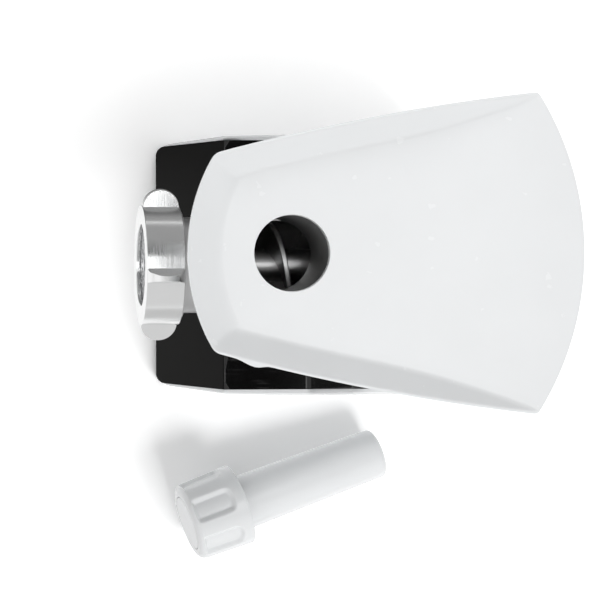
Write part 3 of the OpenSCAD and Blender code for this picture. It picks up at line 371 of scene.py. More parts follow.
def satin_charcoal():
    finish = Finish("satin_charcoal", IOR=1.45, Specular_IOR_Level=0.05)
    place = finish.place()
    grain = finish.noise(place, 0.35, detail=2)
    cloud = finish.noise(place, 18, detail=3)
    finish.set(Base_Color=finish.mix(cloud, grey(0.0075, WARM_BLACK), grey(0.009, WARM_BLACK)),
               Roughness=0.48 + grain * 0.16)
    finish.relief(grain, 0.012)
    return finish.material


CHARCOAL = satin_charcoal()


# %% Polished black
CREASE_X = -22.5
BLEND_Y = 79


def polished_black():
    finish = Finish("polished_black", IOR=1.45)
    place = finish.place()
    x, y = finish.axes(place)[:2]
    dust = finish.noise(place, 0.8, detail=1)
    hairline = finish.noise(place, 3.0, detail=1, stretch=(0.12, 3.0, 1.0))
    scratch = ((hairline - 0.66) * 9).clip()
    aside = abs(y) - BLEND_Y
    # painted reflection: the lighter grey past the crease stands for what the deck mirrors; the added
    # roughness is satin
    satin_and_painted_reflection = ((CREASE_X + (aside * 0.6).most(aside * -0.22) - x) * 1.5).clip()
    shine = finish.mix(dust, grey(0.0010), grey(0.0020))
    finish.set(Base_Color=finish.mix(satin_and_painted_reflection, shine, grey(0.012)),
               Roughness=0.07 + dust * 0.04 + scratch * 0.16 + satin_and_painted_reflection * 0.45)
    finish.relief(finish.noise(place, 9, detail=1), 0.006)
    return finish.material


BLACK = polished_black()

# %% [markdown]
# ## Turned and cast light metal
# The screw ring is turned: a cutting tool leaves fine grooves round its axis, which is the X axis, so the
# pattern depends on X alone and spreads each reflection along X. The barrel is tumbled after casting: duller,
# with a fine orange-peel skin. Both are bare metal, so their colour is the metal's own and all the life comes
# from roughness and relief.


# %% Turned metal
COOL_METAL = (0.995, 1.0, 1.0)


def turned_metal():
    finish = Finish("turned_metal", Metallic=1.0)
    place = finish.place()
    groove = finish.noise(place, 0.12, detail=3, stretch=(1, 0.004, 0.004))
    lay = finish.noise(place, 1.4, detail=2, stretch=(1, 0.01, 0.01))
    smear = finish.noise(place, 9, detail=3, stretch=(0.6, 1, 1))
    finish.set(Base_Color=finish.mix(smear, grey(0.8648, COOL_METAL), grey(0.92, COOL_METAL)),
               Roughness=0.1 + groove * 0.07 + lay * 0.05 + smear * 0.05)
    finish.relief(groove, 0.05)
    return finish.material


TURNED = turned_metal()


# %% Cast metal
def cast_metal(name="tumbled_cast_metal", level=0.62, dull=0.3, depth=0.02):
    finish = Finish(name, Metallic=1.0)
    place = finish.place()
    skin = finish.noise(place, 0.9, detail=3)
    stain = finish.noise(place, 22, detail=4)
    finish.set(Base_Color=finish.mix(stain, grey(level * 0.86), grey(level)),
               Roughness=dull + skin * 0.1 + stain * 0.08)
    finish.relief(skin, depth)
    return finish.material


CAST = cast_metal()


# %% Ground steel
COOL_STEEL = (0.99, 1.0, 1.02)


def ground_steel():
    finish = Finish("ground_steel", Metallic=1.0)
    place = finish.place()
    lines = finish.noise(place, 0.25, detail=3, stretch=(0.3, 0.02, 1))
    stain = finish.noise(place, 14, detail=3)
    finish.set(Base_Color=finish.mix(stain, grey(0.54, COOL_STEEL), grey(0.6, COOL_STEEL)),
               Roughness=0.2 + lines * 0.14)
    finish.relief(lines, 0.003)
    return finish.material


STEEL = ground_steel()

# %% [markdown]
# ## Finishes of the hidden works
# Motor, gears and electrics sit behind the shells. They keep their CAD meshes, and each still gets what its
# material looks like: stacked sheet has a line for each lamella, windings have a strand every half
# millimetre, bronze is speckled with pores, and a board has copper tracks under green lacquer.


# %% Stacked sheet, windings and bronze
LAMELLA = 0.5
STRAND = 0.55


def laminated_steel():
    finish = Finish("laminated_steel", Metallic=1.0)
    place = finish.place()
    sheet = abs((finish.axes(place)[0] / LAMELLA).part() - 0.5) * 2
    rust = finish.noise(place, 6, detail=3)
    finish.set(Base_Color=finish.mix(rust, grey(0.22), grey(0.32, (1.04, 1.0, 0.95))),
               Roughness=0.35 + sheet * 0.2)
    finish.relief(sheet, 0.03)
    return finish.material


def copper_winding():
    finish = Finish("copper_winding", Metallic=1.0, Coat_Weight=0.5)
    place = finish.place()
    x, y, z = finish.axes(place)
    strand = ((x + y * 0.4 + z * 0.4) * (2 * math.pi / STRAND)).sine() * 0.5 + 0.5
    lacquer = finish.noise(place, 5, detail=2)
    finish.set(Base_Color=finish.mix(lacquer, (0.42, 0.13, 0.05, 1), (0.60, 0.24, 0.10, 1)),
               Roughness=0.28 + strand * 0.15)
    finish.relief(strand, 0.12)
    return finish.material


def sintered_bronze():
    finish = Finish("sintered_bronze", Metallic=1.0)
    place = finish.place()
    pores = ((finish.noise(place, 0.5, detail=2) - 0.55) * 8).clip()
    finish.set(Base_Color=finish.mix(pores, (0.46, 0.30, 0.13, 1), (0.16, 0.10, 0.05, 1)),
               Roughness=0.38 + pores * 0.3)
    finish.relief(pores, -0.03)
    return finish.material


# %% Nylon, rubber, carbon and circuit board
TRACK_PITCH = 2.54


def natural_nylon():
    finish = Finish("natural_nylon", IOR=1.53)
    place = finish.place()
    cloud = finish.noise(place, 8, detail=3)
    finish.set(Base_Color=finish.mix(cloud, (0.66, 0.62, 0.50, 1), (0.74, 0.71, 0.60, 1)),
               Roughness=0.4 + cloud * 0.15)
    finish.relief(finish.noise(place, 0.6), 0.008)
    return finish.material


def soft_rubber():
    finish = Finish("soft_rubber", IOR=1.5)
    place = finish.place()
    bloom = finish.noise(place, 4, detail=4)
    finish.set(Base_Color=finish.mix(bloom, grey(0.012), grey(0.028)), Roughness=0.62 + bloom * 0.2)
    finish.relief(finish.noise(place, 0.3), 0.02)
    return finish.material


def pressed_carbon():
    finish = Finish("pressed_carbon", IOR=1.6)
    place = finish.place()
    grain = finish.noise(place, 0.4, detail=3)
    finish.set(Base_Color=finish.mix(grain, grey(0.008), grey(0.03)), Roughness=0.5 + grain * 0.3)
    finish.relief(grain, 0.02)
    return finish.material


def circuit_lacquer():
    finish = Finish("circuit_lacquer", IOR=1.55, Coat_Weight=0.6)
    place = finish.place()
    lane = abs((finish.axes(place)[1] / TRACK_PITCH).part() - 0.5) * 2
    gate = finish.noise(place, 7, detail=1, stretch=(1, 1, 0.3))
    track = ((lane - 0.6) * 8).clip() * ((gate - 0.48) * 20).clip()
    finish.set(Base_Color=finish.mix(track, (0.01, 0.09, 0.035, 1), (0.05, 0.22, 0.09, 1)),
               Roughness=0.3 + track * 0.1)
    finish.relief(track, 0.04)
    return finish.material


# %% Give every CAD node the finish of its slot
FINISHES = {
    "white_plastic": WHITE,
    "black_gloss": BLACK,
    "charcoal_plastic": CHARCOAL,
    "head_metal": CAST,
    "cast_metal": cast_metal("raw_cast_metal", level=0.5, dull=0.42, depth=0.05),
    "steel": STEEL,
    "laminated_steel": laminated_steel(),
    "sintered_bronze": sintered_bronze(),
    "copper_winding": copper_winding(),
    "nylon": natural_nylon(),
    "rubber": soft_rubber(),
    "board": circuit_lacquer(),
    "carbon": pressed_carbon(),
}
for name, node in frame["nodes"].items():
    node.data.materials.clear()
    node.data.materials.append(FINISHES[slot_of_node[name]])
print(len(FINISHES), "finishes on", len(frame["nodes"]), "nodes")


# %% [markdown]
# ## From a drawn shape to a piece in the frame
# All shapes are drawn in millimetres, where the numbers are easy to read. One function welds and turns the
# faces outwards, scales to metres, hands the mesh to an object at the origin and ties it to its CAD body.
# Smooth shading with sharp edges by angle would still bend the light near a rounded edge, where a small face
# and a large one share their normals. Weighted normals let the large face win, so flats stay flat.


# %% Piece maker
def keep_flats(piece):
    """Lets the big faces of a piece set its shading, live, so that its flats stay flat beside round edges."""
    weigh = piece.modifiers.new("flats_stay_flat", "WEIGHTED_NORMAL")
    weigh.weight = 80
    weigh.keep_sharp = True


def as_piece(bm, name, finish, *nodes, sharp=32, weld=0.002, recalc=True):
    """The bmesh as a piece that stands for these CAD nodes and rides on their body."""
    bmesh.ops.remove_doubles(bm, verts=bm.verts, dist=weld)
    if recalc:
        bmesh.ops.recalc_face_normals(bm, faces=bm.faces)
    bmesh.ops.scale(bm, vec=(MM, MM, MM), verts=bm.verts)
    mesh = bpy.data.meshes.new(name)
    bm.to_mesh(mesh)
    bm.free()
    mesh.materials.append(finish)
    mesh.shade_smooth()
    mesh.set_sharp_from_angle(angle=math.radians(sharp))
    piece = bpy.data.objects.new(name, mesh)
    bpy.context.collection.objects.link(piece)
    keep_flats(piece)
    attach(piece, body_of_node[nodes[0]])
    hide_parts(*nodes)
    print(name, len(mesh.polygons), "faces")
    return piece


def rounded_copy(node, radius, finish=None, segments=3, corner=28):
    """A CAD node's shape with its loose triangles welded into faces and its sharp edges rounded."""
    bm = bmesh.new()
    bm.from_mesh(frame["nodes"][node].data)
    bmesh.ops.scale(bm, vec=(1 / MM, 1 / MM, 1 / MM), verts=bm.verts)
    bmesh.ops.remove_doubles(bm, verts=bm.verts, dist=0.002)
    bmesh.ops.dissolve_limit(bm, angle_limit=math.radians(0.4), verts=bm.verts, edges=bm.edges)
    edges = [e for e in bm.edges if e.is_manifold and e.calc_face_angle() > math.radians(corner)]
    bmesh.ops.bevel(bm, geom=edges, offset=radius, offset_type="OFFSET", affect="EDGES", segments=segments,
                    profile=0.5, material=-1, clamp_overlap=True)
    return as_piece(bm, node + "_rounded", finish or FINISHES[slot_of_node[node]], node, weld=0.0005,
                    recalc=False)


# %% Points with rounded corners
def rounded(points, radii, steps=6):
    """The points of a polyline whose corners are arcs of these radii; 0 keeps a corner sharp."""
    points = [Vector(p) for p in points]
    out = []
    for i, (here, radius) in enumerate(zip(points, radii)):
        if radius == 0:
            out.append(here)
            continue
        back = (points[i - 1] - here).normalized()
        ahead = (points[(i + 1) % len(points)] - here).normalized()
        half = back.angle(ahead) / 2
        centre = here + (back + ahead).normalized() * radius / math.sin(half)
        start = here + back * radius / math.tan(half) - centre
        end = here + ahead * radius / math.tan(half) - centre
        out += [centre + radius * start.slerp(end, k / steps).normalized() for k in range(steps + 1)]
    return out


def closed_wire(bm, points):
    """Adds a closed loop of edges through these points and returns its verts and edges."""
    verts = [bm.verts.new(p) for p in points]
    edges = [bm.edges.new((verts[i - 1], verts[i])) for i in range(len(verts))]
    return verts + edges


def turned(points, radii, axis, centre, steps, corner_steps=4):
    """A solid of revolution from a closed profile of (along, radius) points about the X or the Z axis."""
    bm = bmesh.new()
    flat = rounded(points, radii, corner_steps)
    if axis == "X":
        drawn = [Vector((p.x, 0, p.y)) for p in flat]
        about = (1, 0, 0)
    else:
        drawn = [Vector((p.y, 0, p.x)) for p in flat]
        about = (0, 0, 1)
    wire = closed_wire(bm, [p + Vector(centre) for p in drawn])
    bmesh.ops.spin(bm, geom=wire, cent=centre, axis=about, angle=2 * math.pi, steps=steps, use_merge=True)
    return bm


# %% [markdown]
# ## Side shells
# Each shell is a thin white pillow: its outline is the L-shaped side view, its outer face bellies out, and a
# soft radius leads into the narrow strip beside the dark middle. A bevel trips over the small corners of such
# an outline. So the rim is laid as rings, each one the outline moved in a little further along a quarter
# circle. The flat side is then cut into levels and every point moved out by a formula for the belly.

# %% Measures of the housing
shell_low, shell_high = box_mm("left_shell")
FOOT_Z = shell_low.z
BELLY_Z = 50
TOWER_Z = 214
DECK_Z = 107
BELLY_HALF = -shell_low.y
BASE_DRAW = 4
TOWER_DRAW = 9.5
STRIP, STRIP_TOP = 6.0, 3.2
SEAM = 0.2
FRONT_X = -59.8
CORNER_X = FRONT_X + 1.6
CREASE = Vector((-22.5, 100))
NOSE_R = 9
NOSE_HALF = BELLY_HALF - STRIP + 1.5
FLARE_END = 60
SHELL_FRONT_X = CORNER_X + NOSE_R - 4.2
FRONT_SLOPE = (CREASE.x - FRONT_X) / (CREASE.y - FOOT_Z)


def shell_half(x, z):
    """Half width of the housing at a place of the side view."""
    if z < BELLY_Z:
        level = BELLY_HALF - BASE_DRAW * ((BELLY_Z - z) / (BELLY_Z - FOOT_Z)) ** 2
    else:
        level = BELLY_HALF - TOWER_DRAW * ((z - BELLY_Z) / (TOWER_Z - BELLY_Z)) ** 1.5
    flare = NOSE_HALF + (BELLY_HALF + 1 - NOSE_HALF) * (x - CORNER_X) / (FLARE_END - CORNER_X)
    inset = max(0.0, CORNER_X + NOSE_R - x)
    nose = flare - (NOSE_R - math.sqrt(max(0.0, NOSE_R ** 2 - inset ** 2)))
    blend = max(0.0, 2 - abs(nose - level))
    return min(nose, level) - blend ** 2 / 8


def band_half(z):
    """Half width of the dark middle."""
    low = BELLY_HALF - STRIP
    high = BELLY_HALF - TOWER_DRAW - STRIP_TOP
    return low + (high - low) * max(0.0, z - DECK_Z) / (TOWER_Z - DECK_Z)


# %% Side shells
SHELL_LINE = [(SHELL_FRONT_X, FOOT_Z), (150, FOOT_Z), (139, 211), (46, 214), (38, 107), CREASE,
              (SHELL_FRONT_X, FOOT_Z + (SHELL_FRONT_X - FRONT_X) / FRONT_SLOPE)]
SHELL_RADII = [0.3, 4, 16, 10, 5, 2, 1]
SHELL_DRAFT = 6.0
SHELL_EDGE = 2.6
SHELL_SHARP = 40
EDGE_STEPS = 6
LEVEL_STEP, LEVELS = 7, 30
NOSE_CUTS = 14


def shell_ring(inset):
    """The side view's outline moved in by this much, with the same number of points for every inset."""
    corners = [Vector(p) for p in SHELL_LINE]
    ways = [(corners[(i + 1) % len(corners)] - p).normalized() for i, p in enumerate(corners)]
    points, radii = [], []
    for p, way_in, way_out, radius in zip(corners, ways[-1:] + ways[:-1], ways, SHELL_RADII):
        inward = Vector((-way_in.y - way_out.y, way_in.x + way_out.x))
        points.append(p + inward * inset / (1 + way_in.dot(way_out)))
        convex = way_in.cross(way_out) > 0
        radii.append(max(0.2, radius - inset if convex else radius + inset))
    return rounded(points, radii, 8)


def side_shell(side):
    """One side shell; side is -1 for left and 1 for right."""
    bm = bmesh.new()
    stages = [(0, 0)]
    for k in range(EDGE_STEPS + 1):
        turn = math.pi / 2 * k / EDGE_STEPS
        stages.append((SHELL_EDGE * (1 - math.cos(turn)), SHELL_DRAFT - SHELL_EDGE * (1 - math.sin(turn))))
    rings = [[bm.verts.new((p.x, depth, p.y)) for p in shell_ring(inset)] for inset, depth in stages]
    bm.faces.new(rings[0])
    bm.faces.new(rings[-1])
    for low, high in zip(rings, rings[1:]):
        for i in range(len(low)):
            bm.faces.new((low[i - 1], low[i], high[i], high[i - 1]))
    for k in range(1, LEVELS):
        bmesh.ops.bisect_plane(bm, geom=bm.verts[:] + bm.edges[:] + bm.faces[:], dist=0.001,
                               plane_co=(0, 0, FOOT_Z + LEVEL_STEP * k), plane_no=(0, 0, 1))
    for k in range(1, NOSE_CUTS):
        bmesh.ops.bisect_plane(bm, geom=bm.verts[:] + bm.edges[:] + bm.faces[:], dist=0.001,
                               plane_co=(SHELL_FRONT_X + k + k * k * 0.55, 0, 0), plane_no=(1, 0, 0))
    for v in bm.verts:
        inner = band_half(v.co.z) + SEAM
        outer_y = max(inner + 0.25, shell_half(v.co.x, v.co.z))
        v.co.y = side * (inner + (outer_y - inner) * v.co.y / SHELL_DRAFT)
    return bm


as_piece(side_shell(-1), "shell_left", WHITE, "left_shell", sharp=SHELL_SHARP)
right = as_piece(side_shell(1), "shell_right", WHITE, "right_shell", sharp=SHELL_SHARP)

# %% [markdown]
# ## The hole for the release button
# The right shell has a round hole for the button that frees the head. A cut through a curved skin is best
# left to the Boolean modifier: a cylinder is taken away once, the result is kept as the mesh, and the cutter
# is thrown away.

# %% Cut the hole
release_low, release_high = box_mm("release_button")
RELEASE_X = (release_low.x + release_high.x) / 2
RELEASE_Z = (release_low.z + release_high.z) / 2
RELEASE_R = (release_high.x - release_low.x) / 2
BUTTON_PLAY = 0.4
DRILL_LEN = 60


def cut_away(piece, bm):
    """Takes the shape of a bmesh in millimetres away from a piece for good."""
    bmesh.ops.scale(bm, vec=(MM, MM, MM), verts=bm.verts)
    cutter = bpy.data.objects.new("cutter", bpy.data.meshes.new("cutter"))
    bm.to_mesh(cutter.data)
    bm.free()
    bpy.context.collection.objects.link(cutter)
    cut = piece.modifiers.new("cut", "BOOLEAN")
    cut.operation = "DIFFERENCE"
    cut.solver = "EXACT"
    cut.object = cutter
    graph = bpy.context.evaluated_depsgraph_get()
    result = bpy.data.meshes.new_from_object(piece.evaluated_get(graph))
    piece.modifiers.clear()
    bpy.data.objects.remove(cutter)
    old = piece.data
    piece.data = result
    bpy.data.meshes.remove(old)


drill = bmesh.new()
drill_r = RELEASE_R + BUTTON_PLAY
bmesh.ops.create_cone(drill, cap_ends=True, segments=64, radius1=drill_r, radius2=drill_r, depth=DRILL_LEN)
bmesh.ops.rotate(drill, cent=(0, 0, 0), matrix=Matrix.Rotation(math.pi / 2, 3, "X"), verts=drill.verts)
bmesh.ops.translate(drill, vec=(RELEASE_X, BELLY_HALF, RELEASE_Z), verts=drill.verts)
cut_away(right, drill)
right.data.set_sharp_from_angle(angle=math.radians(SHELL_SHARP))
keep_flats(right)

# %% [markdown]
# ## Dark middle, rear, base and controls
# These parts have the right shape in CAD, but a moulding never has a knife edge. A copy of each is welded,
# its flat triangles are joined into whole faces, and its sharp edges are rounded by a few tenths of a
# millimetre, which is enough to catch a line of light along every seam.

# %% Rounded copies of the housing parts
for node, radius in (("front_panel", 0.25), ("top_cover", 0.25), ("rear_cover", 0.5), ("vent_grille", 0.35),
                     ("base_plate", 0.3), ("foot_ring", 0.8), ("cable_gland", 0.5), ("button_bezel", 0.45),
                     ("socket_ring", 0.8), ("power_button", 0.9), ("reverse_button", 0.9),
                     ("release_button", 1.0), ("housing_screws", 0.3)):
    rounded_copy(node, radius)

# %% [markdown]
# ## Screw ring
# The ring holds plate and knife in the barrel, and four ears give the hand a grip. The ring is a solid of
# revolution, so a profile is spun about the barrel's axis. An ear is a disc on edge with a rounded rim,
# pressed to a wedge that is thick at its root, and repeated by a quarter turn.

# %% Screw ring
ring_low, ring_high = box_mm("screw_ring")
plate_low, plate_high = box_mm("hole_plate")
BARREL_Z = (plate_low.z + plate_high.z) / 2
RING_R = 40
EARS = 4
EAR_TURN = 10.2
EAR_ROOT_T, EAR_TIP_T = 9.6, 3.6
EAR_REACH = 11
EAR_BLANK = 3.5
EAR_EDGE = 0.6
EAR_R = (ring_high.x - ring_low.x) / 2 - 0.3
RING_BORE = 36.3
RING_MOUTH = 27
RING_LIP = 3


def screw_ring():
    front, back = ring_low.x, ring_high.x
    axis_point = (0, 0, BARREL_Z)
    bm = turned([(front, RING_R), (back, RING_R), (back, RING_BORE), (front + RING_LIP, RING_BORE),
                 (front + RING_LIP, RING_MOUTH), (front, RING_MOUTH)], [0.5, 0.6, 0.4, 0.4, 0.4, 0.8],
                "X", axis_point, 144)
    tip_z = RING_R + EAR_REACH
    lean = (EAR_ROOT_T - EAR_TIP_T) / 2 / EAR_REACH
    for k in range(EARS):
        ear = bmesh.new()
        bmesh.ops.create_cone(ear, cap_ends=True, segments=72, radius1=EAR_R, radius2=EAR_R,
                              depth=2 * EAR_BLANK)
        rims = [e for e in ear.edges if abs(e.verts[0].co.z - e.verts[1].co.z) < 0.01]
        bmesh.ops.bevel(ear, geom=rims, offset=EAR_EDGE, offset_type="OFFSET", affect="EDGES",
                        segments=4, profile=0.5, material=-1)
        bmesh.ops.rotate(ear, cent=(0, 0, 0), matrix=Matrix.Rotation(math.pi / 2, 3, "X"), verts=ear.verts)
        bmesh.ops.translate(ear, vec=(0, 0, tip_z - EAR_R), verts=ear.verts)
        for v in ear.verts:
            v.co.y *= (EAR_TIP_T / 2 + lean * (tip_z - v.co.z)) / EAR_BLANK
        bmesh.ops.rotate(ear, cent=(0, 0, 0), verts=ear.verts,
                         matrix=Matrix.Rotation(math.radians(EAR_TURN + 360 * k / EARS), 3, "X"))
        bmesh.ops.translate(ear, vec=((front + back) / 2, 0, BARREL_Z), verts=ear.verts)
        held = bpy.data.meshes.new("ear")
        ear.to_mesh(held)
        ear.free()
        bm.from_mesh(held)
        bpy.data.meshes.remove(held)
    return bm


as_piece(screw_ring(), "ring_with_ears", TURNED, "screw_ring")

# %% [markdown]
# ## Barrel, plate, knife and stud
# The casting and the ground parts in it have their true shape in CAD, thread and holes included. Drawing them
# again would gain nothing, so each is a rounded copy in its own metal.

# %% Barrel, plate, knife and stud
for node, radius, finish in (("grinder_barrel", 0.6, CAST), ("hole_plate", 0.25, STEEL),
                             ("cross_knife", 0.3, STEEL), ("auger_stud", 0.3, STEEL)):
    rounded_copy(node, radius, finish, segments=2)

# %% [markdown]
# ## Auger
# The feed screw is a core with one flight wound round it. Spin can also move along its axis as it turns: with
# a step of pitch for each turn, a flat profile becomes a true helix. That gives a smooth flight with far less
# work than twisting an extrusion.

# %% Auger
auger_low, auger_high = box_mm("auger")
AUGER_PITCH = 34
AUGER_CORE_R = 11
AUGER_R = 29.2
FLIGHT_ROOT = 6.0
FLIGHT_TIP = 3.6
FLIGHT_STEP = 9
CORE_END = 33
NECK_R = 8
DRIVE_R, DRIVE_LEN = 6.7, 9


def auger():
    axis_point = (0, 0, BARREL_Z)
    start, end = auger_low.x, auger_high.x
    bm = turned([(start, 0), (start, AUGER_CORE_R), (CORE_END, AUGER_CORE_R), (CORE_END, NECK_R),
                 (end - DRIVE_LEN, NECK_R), (end - DRIVE_LEN, DRIVE_R), (end, DRIVE_R), (end, 0)],
                [0, 0.8, 0.8, 0.5, 0.4, 0.3, 0.5, 0], "X", axis_point, 72)
    run = CORE_END - start - 2
    turn = 360 * run / AUGER_PITCH
    steps = round(turn / FLIGHT_STEP)
    mid = start + 1
    profile = rounded([(mid - FLIGHT_ROOT / 2, AUGER_CORE_R - 1), (mid - FLIGHT_TIP / 2, AUGER_R),
                       (mid + FLIGHT_TIP / 2, AUGER_R), (mid + FLIGHT_ROOT / 2, AUGER_CORE_R - 1)],
                      [0, 0.9, 0.9, 0], 3)
    points = [Vector((p.x, p.y, BARREL_Z)) for p in profile]
    bmesh.ops.spin(bm, geom=closed_wire(bm, points), cent=axis_point, axis=(1, 0, 0),
                   angle=math.radians(turn), steps=steps, dvec=(run / steps, 0, 0), use_merge=False)
    bmesh.ops.holes_fill(bm, edges=[e for e in bm.edges if e.is_boundary], sides=0)
    return bm


as_piece(auger(), "auger_screw", cast_metal("auger_metal", level=0.55, dull=0.25), "auger", sharp=35)

# %% [markdown]
# ## Meat tray
# The tray is one thin moulding. Seen from above it is a fan: a short bulging front edge, nearly straight long
# edges and a wide rear arc. The dish is shallow. Its floor rises gently to the rear, so that the steep side
# walls start wide near the middle and run out to nothing in the rear corners. The outline is drawn once,
# extruded in to the round mouth and subdivided, and the height of every point follows a formula. Solidify
# then gives the sheet its wall.

# %% Outline of the tray
tray_low, tray_high = box_mm("meat_tray")
TUBE_Y = (tray_low.y + tray_high.y) / 2
RIM_Z = tray_high.z
DISH_DEPTH = 14
FLOOR_Z = RIM_Z - DISH_DEPTH
FRONT_CORNER = Vector((-51, 61.6))
REAR_CORNER = Vector((156.6, 102.5))
FRONT_BULGE = 17
REAR_BULGE = 31
SIDE_BULGE = 4
MOUTH_R = 24.3
CORNER_R = {FRONT_CORNER.x: 9, REAR_CORNER.x: 4}
TAB_FROM, TAB_TO, TAB_OUT = -41, -16, 2.4


def arc_between(start, end, bulge, steps):
    """Points from start to just before end on an arc that bulges to the right of its way."""
    chord = end - start
    half = chord.length / 2
    radius = (half ** 2 + bulge ** 2) / (2 * bulge)
    ahead = chord.normalized()
    out = Vector((ahead.y, -ahead.x))
    centre = (start + end) / 2 - out * (radius - bulge)
    sweep = math.asin(half / radius)
    angles = [sweep * (2 * k / steps - 1) for k in range(steps)]
    return [centre + radius * (math.cos(a) * out + math.sin(a) * ahead) for a in angles]


def tray_outline():
    """Corner points of the tray, anticlockwise from above; tray() adds the small grip on its left edge."""
    flip = Vector((1, -1))
    a, b, c, d = FRONT_CORNER, FRONT_CORNER * flip, REAR_CORNER * flip, REAR_CORNER
    sides = [(a, b, FRONT_BULGE, 40), (b, c, SIDE_BULGE, 74), (c, d, REAR_BULGE, 64), (d, a, SIDE_BULGE, 74)]
    points, radii = [], []
    for start, end, bulge, steps in sides:
        stretch = arc_between(start, end, bulge, steps)
        stretch = stretch[:1] + [p for p in stretch if (p - start).length > CORNER_R[start.x]
                                 and (p - end).length > CORNER_R[end.x]]
        points += stretch
        radii += [CORNER_R[start.x]] + [0] * (len(stretch) - 1)
    return points, radii


# %% Height of the tray's upper side
WALL_SLOPE = math.tan(math.radians(40))
REAR_CENTRE_X = 2.6
REAR_R = 185
FLOOR_FLAT_R = 58
FRONT_CENTRE_X = 52
FRONT_R = 120
FRONT_RUN = 24
FRONT_POWER = 1.35
CREST = 1.6
RISE_FROM, RISE_RUN = -10, 60
RISE_EVEN, RISE_POWER = 0.12, 2.2
FLOOR_BLEND, WALL_BLEND = 3, 1.6


def smooth_most(a, b, width):
    """The greater of two numbers, with the corner between them rounded over this width."""
    overlap = max(0.0, width - abs(a - b))
    return max(a, b) + overlap ** 2 / (4 * width)


def long_edge_gap(x, y):
    """Distance in from the nearer long edge."""
    along = (REAR_CORNER - FRONT_CORNER).normalized()
    to = Vector((x, abs(y))) - FRONT_CORNER
    share = to.dot(along) / (REAR_CORNER - FRONT_CORNER).length
    bulge = SIDE_BULGE * (1 - (2 * share - 1) ** 2)
    return bulge - (along.x * to.y - along.y * to.x)


def dish(x, y):
    """Height of the dish at a place given from the tube's axis."""
    deep = RIM_Z - FLOOR_Z
    reach = max(0.0, math.hypot(x - REAR_CENTRE_X, y) - FLOOR_FLAT_R) / (REAR_R - FLOOR_FLAT_R)
    behind = max(0.0, min(1.0, (x - RISE_FROM) / RISE_RUN))
    floor_z = deep * (RISE_EVEN * reach + (1 - RISE_EVEN) * reach ** RISE_POWER) * behind
    front_gap = max(0.0, FRONT_R - math.hypot(min(0.0, x - FRONT_CENTRE_X), y))
    front_z = deep * max(0.0, 1 - front_gap / FRONT_RUN) ** FRONT_POWER if x < FRONT_CENTRE_X else 0
    wall_z = deep - max(0.0, long_edge_gap(x, y) - CREST) * WALL_SLOPE
    low = smooth_most(floor_z, front_z, FLOOR_BLEND)
    return FLOOR_Z + min(deep, smooth_most(low, wall_z, WALL_BLEND))


# %% Meat tray
TRAY_T = 2.5
TRAY_RINGS = 84


def tray():
    bm = bmesh.new()
    points, radii = tray_outline()
    outline = rounded(points, radii, 5)
    for p in outline:
        share = (p.x - TAB_FROM) / (TAB_TO - TAB_FROM)
        if p.y < 0 and 0 < share < 1:
            p.y -= TAB_OUT * math.sin(math.pi * share ** 1.3) ** 2
    rim = closed_wire(bm, [(p.x, p.y, 0) for p in outline])
    edges = [e for e in rim if isinstance(e, bmesh.types.BMEdge)]
    made = bmesh.ops.extrude_edge_only(bm, edges=edges)["geom"]
    for v in made:
        if isinstance(v, bmesh.types.BMVert):
            v.co = v.co.normalized() * MOUTH_R
    spokes = [e for e in bm.edges if len(e.link_faces) == 2]
    bmesh.ops.subdivide_edges(bm, edges=spokes, cuts=TRAY_RINGS, use_grid_fill=True)
    bmesh.ops.recalc_face_normals(bm, faces=bm.faces)
    if bm.faces[0].normal.z < 0:
        bmesh.ops.reverse_faces(bm, faces=bm.faces)
    for v in bm.verts:
        v.co.z = dish(v.co.x, v.co.y)
    bmesh.ops.solidify(bm, geom=bm.faces[:], thickness=TRAY_T)
    bmesh.ops.translate(bm, vec=(0, TUBE_Y, 0), verts=bm.verts)
    return bm


as_piece(tray(), "tray", WHITE, "meat_tray", sharp=50)

# %% [markdown]
# ## Food pusher
# The pusher is a tapered tube with a dome at its tip and a fluted cap at the other end. Cap and stem are
# spun. The flutes are scoops between broad lands: the spun skin is dense enough to be pressed in by a formula
# with soft shoulders, which no cylinder cut out of it would give.

# %% Where the pusher lies
PUSHER_AT = (-39.1, -187.5)
PUSHER_TURN = 18.2
PUSHER_LEN = 153.4
CAP_LEN = 41.4
CAP_END_R, CAP_MOUTH_R = 28.1, 29.6
STEM_R, STEM_TIP_R = 19.9, 18.2
STEM_FROM = CAP_LEN - 12
LIE_EDGE = 2
lie_slope = math.atan((CAP_MOUTH_R - STEM_TIP_R) / (PUSHER_LEN - CAP_LEN))
lie_z = ((CAP_LEN - LIE_EDGE) * math.sin(lie_slope) + (CAP_MOUTH_R - LIE_EDGE) * math.cos(lie_slope)
         + LIE_EDGE)
pusher_place = (Matrix.Translation((*PUSHER_AT, lie_z)) @ Matrix.Rotation(math.radians(PUSHER_TURN), 4, "Z")
                @ Matrix.Rotation(lie_slope + math.pi / 2, 4, "Y"))

# %% Cap with flutes
FLUTES = 6
FLUTE_TURN = 39
FLUTE_DEPTH = 2.9
FLUTE_FROM, FLUTE_TO = 4.2, 34.5
FLUTE_HALF = 19.5
FLUTE_SOFT = 6.5
FLUTE_END = 7
DISC_R, DISC_T = 20, 1.5
DISC_GAP = 0.35
SEAT_PLAY, STEM_PLAY = 0.08, 0.05
CAP_WALL = 2.5
CAP_SKIN = 5.6
MOUTH_DEPTH = 6
END_EDGE = 5.5


def soft_step(value, start, width):
    """0 below start, 1 from start plus width on, and a smooth ramp between."""
    share = max(0.0, min(1.0, (value - start) / width))
    return share * share * (3 - 2 * share)


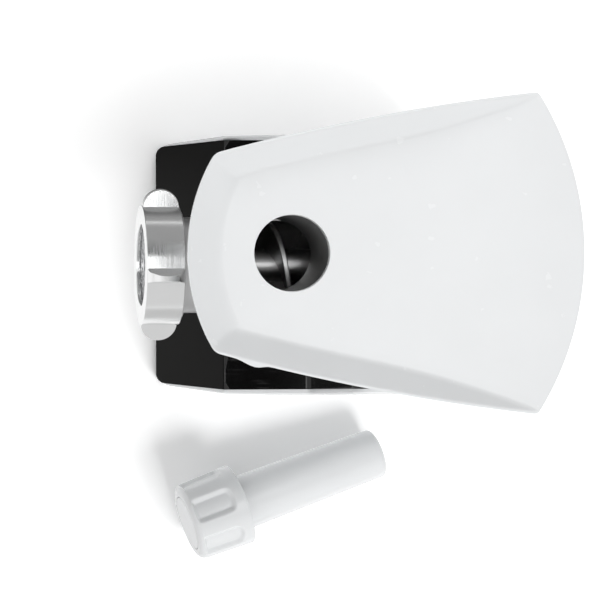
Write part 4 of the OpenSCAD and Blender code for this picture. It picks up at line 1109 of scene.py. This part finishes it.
def pusher_cap():
    seat_r, stem_r, inner_r = DISC_R + SEAT_PLAY, STEM_R + STEM_PLAY, CAP_MOUTH_R - CAP_WALL
    bm = turned([(DISC_T, 0), (DISC_T, seat_r), (0, seat_r), (0, CAP_END_R), (CAP_LEN, CAP_MOUTH_R),
                 (CAP_LEN, inner_r), (CAP_LEN - MOUTH_DEPTH, inner_r), (CAP_LEN - MOUTH_DEPTH, stem_r),
                 (STEM_FROM, stem_r), (STEM_FROM, 0)],
                [0, 0, 0.5, END_EDGE, 1.2, 1.2, 0.8, 0, 0, 0], "Z", (0, 0, 0), 192)
    for k in range(1, 33):
        bmesh.ops.bisect_plane(bm, geom=bm.verts[:] + bm.edges[:] + bm.faces[:], dist=0.001,
                               plane_co=(0, 0, 2 + k), plane_no=(0, 0, 1))
    for v in bm.verts:
        radius = math.hypot(v.co.x, v.co.y)
        skin = CAP_END_R + (CAP_MOUTH_R - CAP_END_R) * v.co.z / CAP_LEN
        if radius < skin - CAP_SKIN or v.co.z > FLUTE_TO:
            continue
        spacing = 360 / FLUTES
        bearing = math.degrees(math.atan2(v.co.y, v.co.x)) - FLUTE_TURN
        off = abs((bearing + spacing / 2) % spacing - spacing / 2)
        reach = min(1.0, off / FLUTE_HALF)
        end = FLUTE_TO - FLUTE_END * (1 - math.sqrt(1 - reach ** 2))
        across = 1 - soft_step(off, FLUTE_HALF - FLUTE_SOFT, FLUTE_SOFT)
        along = soft_step(v.co.z, FLUTE_FROM - 1.5, 3) * (1 - soft_step(v.co.z, end - 3.5, 3.5))
        pressed = radius - FLUTE_DEPTH * across * along
        v.co.x *= pressed / radius
        v.co.y *= pressed / radius
    bmesh.ops.transform(bm, matrix=pusher_place, verts=bm.verts)
    return bm


as_piece(pusher_cap(), "pusher_cap_fluted", WHITE, "pusher_cap", sharp=45)

# %% Stem and disc
TIP_EDGE = 3.5


def pusher_stem():
    bm = turned([(STEM_FROM, 0), (STEM_FROM, STEM_R), (PUSHER_LEN, STEM_TIP_R), (PUSHER_LEN, 0)],
                [0, 0, TIP_EDGE, 0], "Z", (0, 0, 0), 128, corner_steps=8)
    bmesh.ops.transform(bm, matrix=pusher_place, verts=bm.verts)
    return bm


def pusher_disc():
    rim = DISC_R - DISC_GAP
    bm = turned([(0, 0), (0, rim), (DISC_T, rim), (DISC_T, 0)], [0, 0.4, 0, 0], "Z", (0, 0, 0), 96)
    bmesh.ops.transform(bm, matrix=pusher_place, verts=bm.verts)
    return bm


as_piece(pusher_stem(), "pusher_stem_tube", WHITE, "pusher_stem")
as_piece(pusher_disc(), "pusher_end_disc", WHITE, "pusher_disc")
